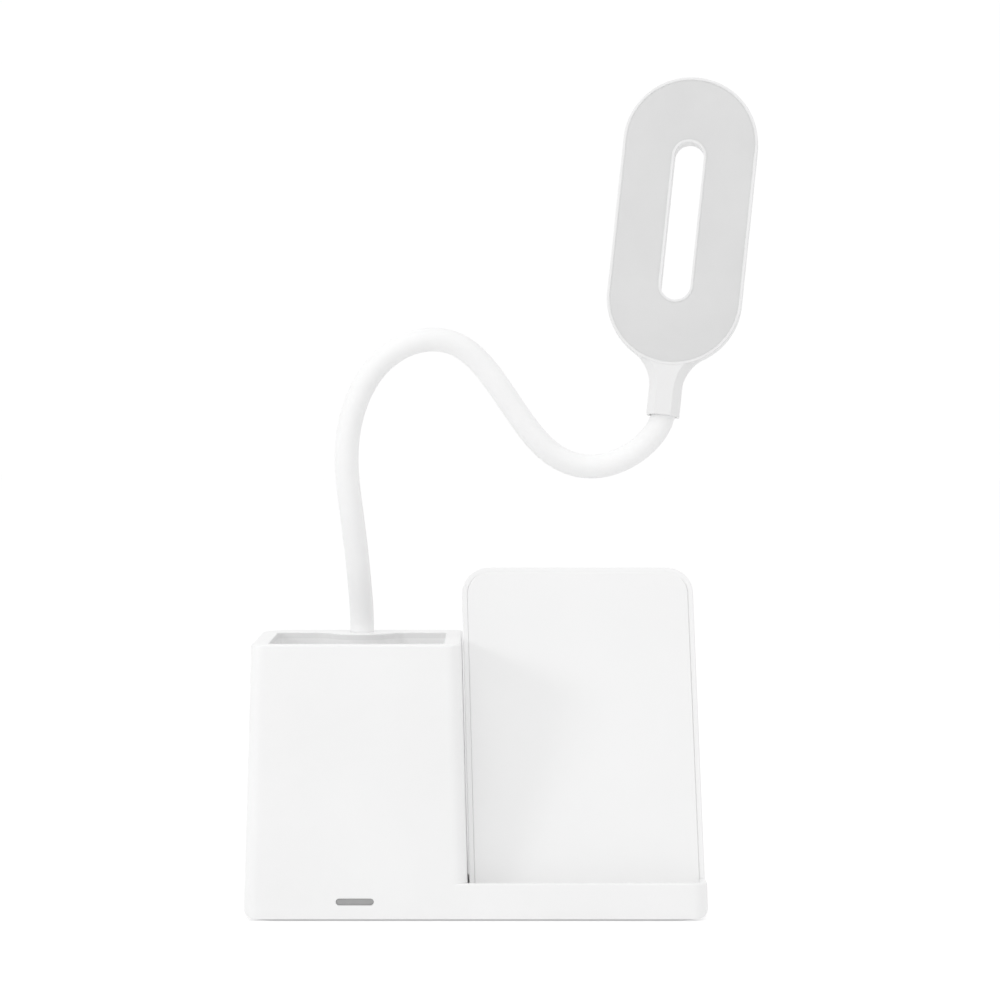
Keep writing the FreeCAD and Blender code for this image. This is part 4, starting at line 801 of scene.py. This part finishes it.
def can(x, y, radius, height):
    """Electrolytic capacitor: aluminium can with a crimped neck, black base and a scored top."""
    outline = [(radius - 0.2, 0.5), (radius, 0.6), (radius, 1.2), (radius - 0.22, 1.4), (radius - 0.22, 1.55),
               (radius, 1.8), (radius, height - 0.35), (radius - 0.1, height - 0.1),
               (radius - 0.35, height), (radius - 0.6, height - 0.08)]
    foot = 2 * radius - 0.1
    parts = [turned("can", outline, FINISH["fitting_steel"], (x, y)),
             block("can_base", foot, foot, 0.9, (0, 0.6), BLACK, (x, y))]
    for width, deep in ((radius, 0.16), (0.16, radius)):
        parts.append(block("score", width, deep, 0.04, (height - 0.12, height - 0.03), BLACK, (x, y)))
    return parts


def choke(x, y, width, height):
    """Drum choke: copper wound between two ferrite flanges."""
    half, wound = width / 2, (width / 2 - 0.55) * MM
    low = stacked("flange", [
        (width, width, 1, 0), (width, width, 1, 0.9), (width - 0.3, width - 0.3, 1, 1)], FERRITE, (x, y))
    high = turned("flange", [
        (half - 0.2, height - 1), (half, height - 0.9), (half, height - 0.15), (half - 0.15, height)],
        FERRITE, (x, y))
    core = turned("core", [(width / 4, 0.8), (width / 4, height - 0.8)], FERRITE, (x, y))
    copper = grown("winding", WINDINGS, {
        "Turns": float(int((height - 2.1) / 0.42)), "Inside": wound, "Outside": wound,
        "Rise": (height - 2.5) * MM, "Wire": 0.2 * MM, "Material": COPPER})
    copper.data.shade_smooth()
    return [low, high, core, moved(copper, Matrix.Translation(Vector((x, y, 1.25)) * MM))]


def pellets(line, count, width, deep, height, body):
    """Chip resistors or capacitors: a ceramic body between two tinned ends."""
    shape = block("ceramic_shape", width - 0.5, deep - 0.06, 0.05, (0.02, height), body)
    ceramic = repeated("ceramic", shape, line, count)
    ends = [stacked("end", [
        (0.4, deep, 0.08, 0), (0.4, deep, 0.08, height - 0.04), (0.3, deep - 0.1, 0.08, height)],
        TIN, (side * (width / 2 - 0.2), 0)) for side in (-1, 1)]
    return [ceramic, repeated("ends", joined("ends_shape", ends), line, count)]


def lead_socket(x, y, width, deep, height):
    """Nylon socket for a plug on a lead: a shroud with a step, two ribs and two tinned feet."""
    shell = stacked("shroud", [
        (width, deep - 0.4, 0.3, 0), (width, deep - 0.4, 0.3, height - 0.7),
        (width - 0.7, deep - 1, 0.3, height - 0.55), (width - 0.7, deep - 1, 0.3, height - 0.1),
        (width - 0.9, deep - 1.2, 0.3, height)], NYLON, (x, y))
    parts = [shell]
    for side in (-1, 1):
        place = (x + side * (width / 2 - 1.3), y + deep / 2 - 0.25)
        parts.append(block("foot", 0.9, 0.5, 0.1, (0, 0.25), TIN, place))
    for side in (-1, 1):
        place = (x + side * (width / 2 - 0.35), y)
        parts.append(block("rib", 0.5, deep, 0.15, (0.3, height - 1.1), NYLON, place))
    return parts


def main_board_parts():
    """What stands on the main board: x and y as on the base."""
    parts = choke(23.5, 29.5, 7, 4)
    parts += chip(58.5, 19.5, 5, 5, 1, 6)
    parts += chip(35.5, 18.5, 7, 7, 1.2, 9)
    parts += lead_socket(12, 25, 6, 6, 3) + lead_socket(44.45, 5.5, 6, 5, 3)
    parts += can(64, 32, 2.5, 5.4) + can(64, 25.5, 2.5, 5.4)
    parts += pellets([(57, 10.6, 0), (69, 10.6, 0)], 4, 2, 1.2, 0.8, BLACK)
    piece = moved(joined("main_board_parts", parts), Matrix.Translation((0, 0, MAIN_BOARD_TOP * MM)))
    dressed(piece, "base", "parts_black", "board_parts")


def charging_board_parts():
    """What stands on the back of the charging board: x the other way, y up."""
    parts = chip(0, 0, 8, 8, 1, 11)
    parts += lead_socket(0, -10.5, 6, 5, 2.6)
    for x in (-13, 13):
        parts += chip(x, 0, 4, 6, 1.2)
    for first, last, count in ((16.5, 4.5, 3), (-4.5, -10.5, 2)):
        line = [(first, 10.5, 0), (last, 10.5, 0)]
        parts += pellets(line, count, 3, 3, 1.6, FINISH["carrier_plastic"])
    turned_over = Matrix.Translation(CHARGING_BOARD * MM) @ Matrix.Rotation(math.pi, 4, "Y")
    piece = moved(joined("charging_board_parts", parts), rest_frame() @ turned_over)
    dressed(piece, "base", "parts_black", "charger_parts")


def light_ring():
    """Lights in one oval row: a white frame with a cup, the phosphor in it, and two tinned ends."""
    radius, straight = (HEAD_W + SLOT_W) / 4, HEAD_L - HEAD_W
    around = 2 * straight + 2 * math.pi * radius
    points = 15 * LIGHTS
    line = []
    for k in range(points):
        side, s = divmod((k / points + 0.5 / LIGHTS) * around % around, around / 2)
        turn = max(0, s - straight) / radius
        x, y = radius * math.cos(turn), min(s, straight) - straight / 2 + radius * math.sin(turn)
        line.append((x, y, LIGHT_BOARD_FACE) if side == 0 else (-x, -y, LIGHT_BOARD_FACE))
    frame_shape = stacked("shape", [
        (3.3, 2.76, 0.1, 0.06), (3.4, 2.8, 0.12, 0.35), (3.34, 2.74, 0.12, 0.7),
        (2.8, 2.2, 0.5, 0.7), (2.3, 1.7, 0.4, 0.28)], NYLON)
    phosphor = stacked("shape", [
        (2.26, 1.66, 0.4, 0.3), (2.68, 2.08, 0.48, 0.6), (2.4, 1.8, 0.45, 0.62)], FINISH["led_yellow"])
    ends = joined("shape", [block("end", 0.5, 2.3, 0.05, (0, 0.3), TIN, (x, 0)) for x in (-1.5, 1.5)])
    for name, slot, shape in (
            ("light_frames", "board_white", frame_shape), ("light_phosphors", "led_yellow", phosphor),
            ("light_ends", "screw_steel", ends)):
        piece = repeated(name, shape, line, LIGHTS, points)
        dressed(moved(piece, head_frame()), "head", slot, "led_chips")


def charging_winding():
    piece = grown("charging_winding", WINDINGS, {"Material": COPPER})
    piece.data.shade_smooth()
    place = rest_frame() @ Matrix.Translation(COIL_PLACE * MM)
    dressed(moved(piece, place), "base", "coil_copper", "charging_coil")


def grip_pad():
    """Pad under the base: a smooth border round a field of small studs."""
    sheet = stacked("grip_sheet", [
        (158, 68.2, 0.5, 0.9), (158, 68.2, 0.5, -0.3), (151, 61.2, 2, -0.3), (150.4, 60.6, 1.9, 0.3)],
        PAD, steps=6)
    piece = creased(grown("grip_pad", studded_sheet(), {"Material": PAD}, sheet))
    dressed(moved(piece, Matrix.Translation((0, 0, PAD_TOP * MM))), "base", "pad_grey", "anti_slip_pad")


def inlet_contacts():
    """Twelve gold contacts on each face of the inlet's tongue."""
    faces = []
    for height in CONTACT_HEIGHTS:
        strip = block("contact", 0.3, 4.4, 0.05, (-0.02, 0.02), GOLD)
        line = [(x, CONTACTS_Y, height) for x in (CONTACTS_FROM, CONTACTS_TO)]
        faces.append(repeated("contacts", strip, line, 12))
    dressed(joined("inlet_contacts", faces), "base", "fitting_steel")


# ---- Silicone in the grooves
def bead(name, rings, place, body):
    """Bead of silicone in a groove, from the four closed lines of its edges, in mm."""
    verts = [Vector(point) * MM for ring in rings for point in ring]
    piece = mesh_piece(name, verts, quads(4, len(rings[0]), True), FINISH["silicone_white"])
    dressed(moved(creased(piece), place), body, "silicone_white")


def panel_bead():
    """White silicone in the groove round the charging panel.

    Along the top edge the panel squeezed it, so it stands up and lies over the panel's rounding."""
    height, risen, bottom = -0.42, 0.37, -1.2
    rises_from, rises_over = 124, 5

    def outline(inset):
        foot, up = inset - 1, REST_UP - inset
        left = [REST_LEFT - DRAFT * (REST_FOOT.z + u * math.cos(math.radians(REST_LEAN))) + inset
                for u in (foot, up)]
        right = [x + REST_W - 2 * inset for x in left]
        corners = [(left[0], foot), (right[0], foot), (right[1], up), (left[1], up)]
        return rounded_loop(corners, [0.05, 0.05, REST_R - inset, REST_R - inset], 16)

    frame_side, panel_side, over_round = (
        outline(PANEL_IN + further) for further in (0, PANEL_GAP, 3 * PANEL_GAP))
    outer, inner = [], []
    for edge, narrow, wide in zip(frame_side, panel_side, over_round):
        squeezed = min(1, max(0, (edge.y - rises_from) / rises_over))
        outer.append((edge.x, edge.y, height + risen * squeezed))
        inner.append((*narrow.lerp(wide, squeezed), height + risen * squeezed))
    under = [[(p.x, p.y, bottom) for p in ring] for ring in (panel_side, frame_side)]
    bead("panel_bead", [outer, inner] + under, rest_frame(), "base")


def diffuser_beads():
    """White silicone round the diffuser's two edges, just under its face."""
    top, bottom, wide = -0.2, -0.8, 0.1
    for name, width, length, near in (
            ("diffuser_bead", HEAD_W, HEAD_L, HEAD_RIM), ("slot_bead", SLOT_W, SLOT_L, -SLOT_RIM)):
        far = near + wide
        rings = []
        for inset, height in ((near, top), (far, top), (far, bottom), (near, bottom)):
            across, up = width - 2 * inset, length - 2 * inset
            rings.append(rounded_ring(across, up, across / 2 - 0.001, height, steps=24))
        bead(name, rings, head_frame(), "head")


main_board_parts()
charging_board_parts()
light_ring()
charging_winding()
grip_pad()
inlet_contacts()
panel_bead()
diffuser_beads()


# ---- Light, floor and camera
LIT = Vector((0, 0, 0.12))  # what both lamps face
LAMPS_AWAY = 1.5
LAMPS = (("key", (-1.5, -0.92, 0.58), 0.4, 2.8),  # direction, size, watts
         ("top", (0, -0.3, 1), 1.4, 4.5))
ROOM_LIGHT, ROOM_ASIDE, ROOM_SEEN = 0.805, 0.03, 1.01
# Glow of the floor seen directly: in the open, and lower under the base as painted shade.
FLOOR_GLOW, FLOOR_GLOW_PAINTED_SHADE = 0.625, 0.4
COVERED = (78.4 * MM, 31.9 * MM, 0)  # half the base's bottom, inside its rounded corners
COVERED_R = 12 * MM
CAMERA_AT = (0.00965, -1.395, 0.2161)
CAMERA_DOWN = 2.044  # degrees below level


def seen_directly(tree):
    """1 where a ray from the camera, a reflection or a clear piece looks at the surface."""
    path = add(tree, "ShaderNodeLightPath").outputs
    first = add(tree, MATH, [path["Is Camera Ray"], path["Is Glossy Ray"]], operation="MAXIMUM")
    return add(tree, MATH, [first, path["Is Transmission Ray"]], operation="MAXIMUM")


def studio():
    """White room: a soft lamp from the left in front, a large one overhead, and light all round."""
    world = bpy.data.worlds.new("white_room")
    bpy.context.scene.world = world
    tree = cleared(world)
    # Rays that light the object find the room slightly brighter on the right.
    around = add(tree, "ShaderNodeTexCoord").outputs["Generated"]
    aside = add(tree, "ShaderNodeSeparateXYZ", [around]).outputs["X"]
    level = add(tree, MATH, [aside, ROOM_ASIDE, ROOM_LIGHT], operation="MULTIPLY_ADD")
    strength = add(tree, RANGE, {"Value": seen_directly(tree), "To Min": level, "To Max": ROOM_SEEN})
    room = add(tree, "ShaderNodeBackground", {"Color": paint("#FFFFFF"), "Strength": strength})
    add(tree, "ShaderNodeOutputWorld", {"Surface": room})
    for name, direction, size, power in LAMPS:
        light = bpy.data.lights.new(name, "AREA")
        light.shape = "DISK"
        light.size = size
        light.energy = power
        lamp = linked(name, light)
        lamp.location = LIT + Vector(direction).normalized() * LAMPS_AWAY
        lamp.rotation_euler = (LIT - lamp.location).to_track_quat("-Z", "Y").to_euler()


def floor():
    """Plain white floor that keeps a faint shadow of the lamp, with painted shade under the base."""
    mesh = bpy.data.meshes.new("floor")
    mesh.from_pydata([(-6, -6, 0), (6, -6, 0), (6, 6, 0), (-6, 6, 0)], [], [(0, 1, 2, 3)])
    material = bpy.data.materials.new("white_floor")
    tree = cleared(material)
    matt = add(tree, "ShaderNodeBsdfDiffuse", {"Color": paint("#FCFCFC")})
    faint = add(tree, "ShaderNodeBsdfDiffuse", {"Color": paint("#B7B7B7")})
    # Painted shade: the white glow of the floor is lower under the base, where no light would reach it.
    at = add(tree, "ShaderNodeTexCoord").outputs["Object"]
    reach = add(tree, VECTOR, [at], operation="ABSOLUTE")
    past = add(tree, VECTOR, [reach, COVERED], operation="SUBTRACT")
    outside = add(tree, VECTOR, [past, (0, 0, 0)], operation="MAXIMUM")
    distance = add(tree, VECTOR, [outside], operation="LENGTH").outputs["Value"]
    covered = add(tree, MATH, [distance, COVERED_R], operation="LESS_THAN")
    level = add(tree, RANGE, {"Value": covered, "To Min": FLOOR_GLOW, "To Max": FLOOR_GLOW_PAINTED_SHADE})
    glow = add(tree, "ShaderNodeEmission", {"Color": paint("#FFFFFF"), "Strength": level})
    bright = add(tree, "ShaderNodeAddShader", [glow, faint])
    pick = add(tree, "ShaderNodeMixShader", [seen_directly(tree), matt, bright])
    add(tree, "ShaderNodeOutputMaterial", {"Surface": pick})
    mesh.materials.append(material)
    linked("floor", mesh)


def camera():
    """Long lens in front of the lamp, looking slightly down at it."""
    lens = bpy.data.cameras.new("camera")
    lens.lens = 122.65
    lens.sensor_width = 36.0
    lens.clip_end = 20.0
    holder = linked("camera", lens)
    holder.location = CAMERA_AT
    holder.rotation_euler = (math.radians(90 - CAMERA_DOWN), 0, 0)
    bpy.context.scene.camera = holder


camera()
floor()
studio()
bpy.context.scene.view_settings.view_transform = "Standard"
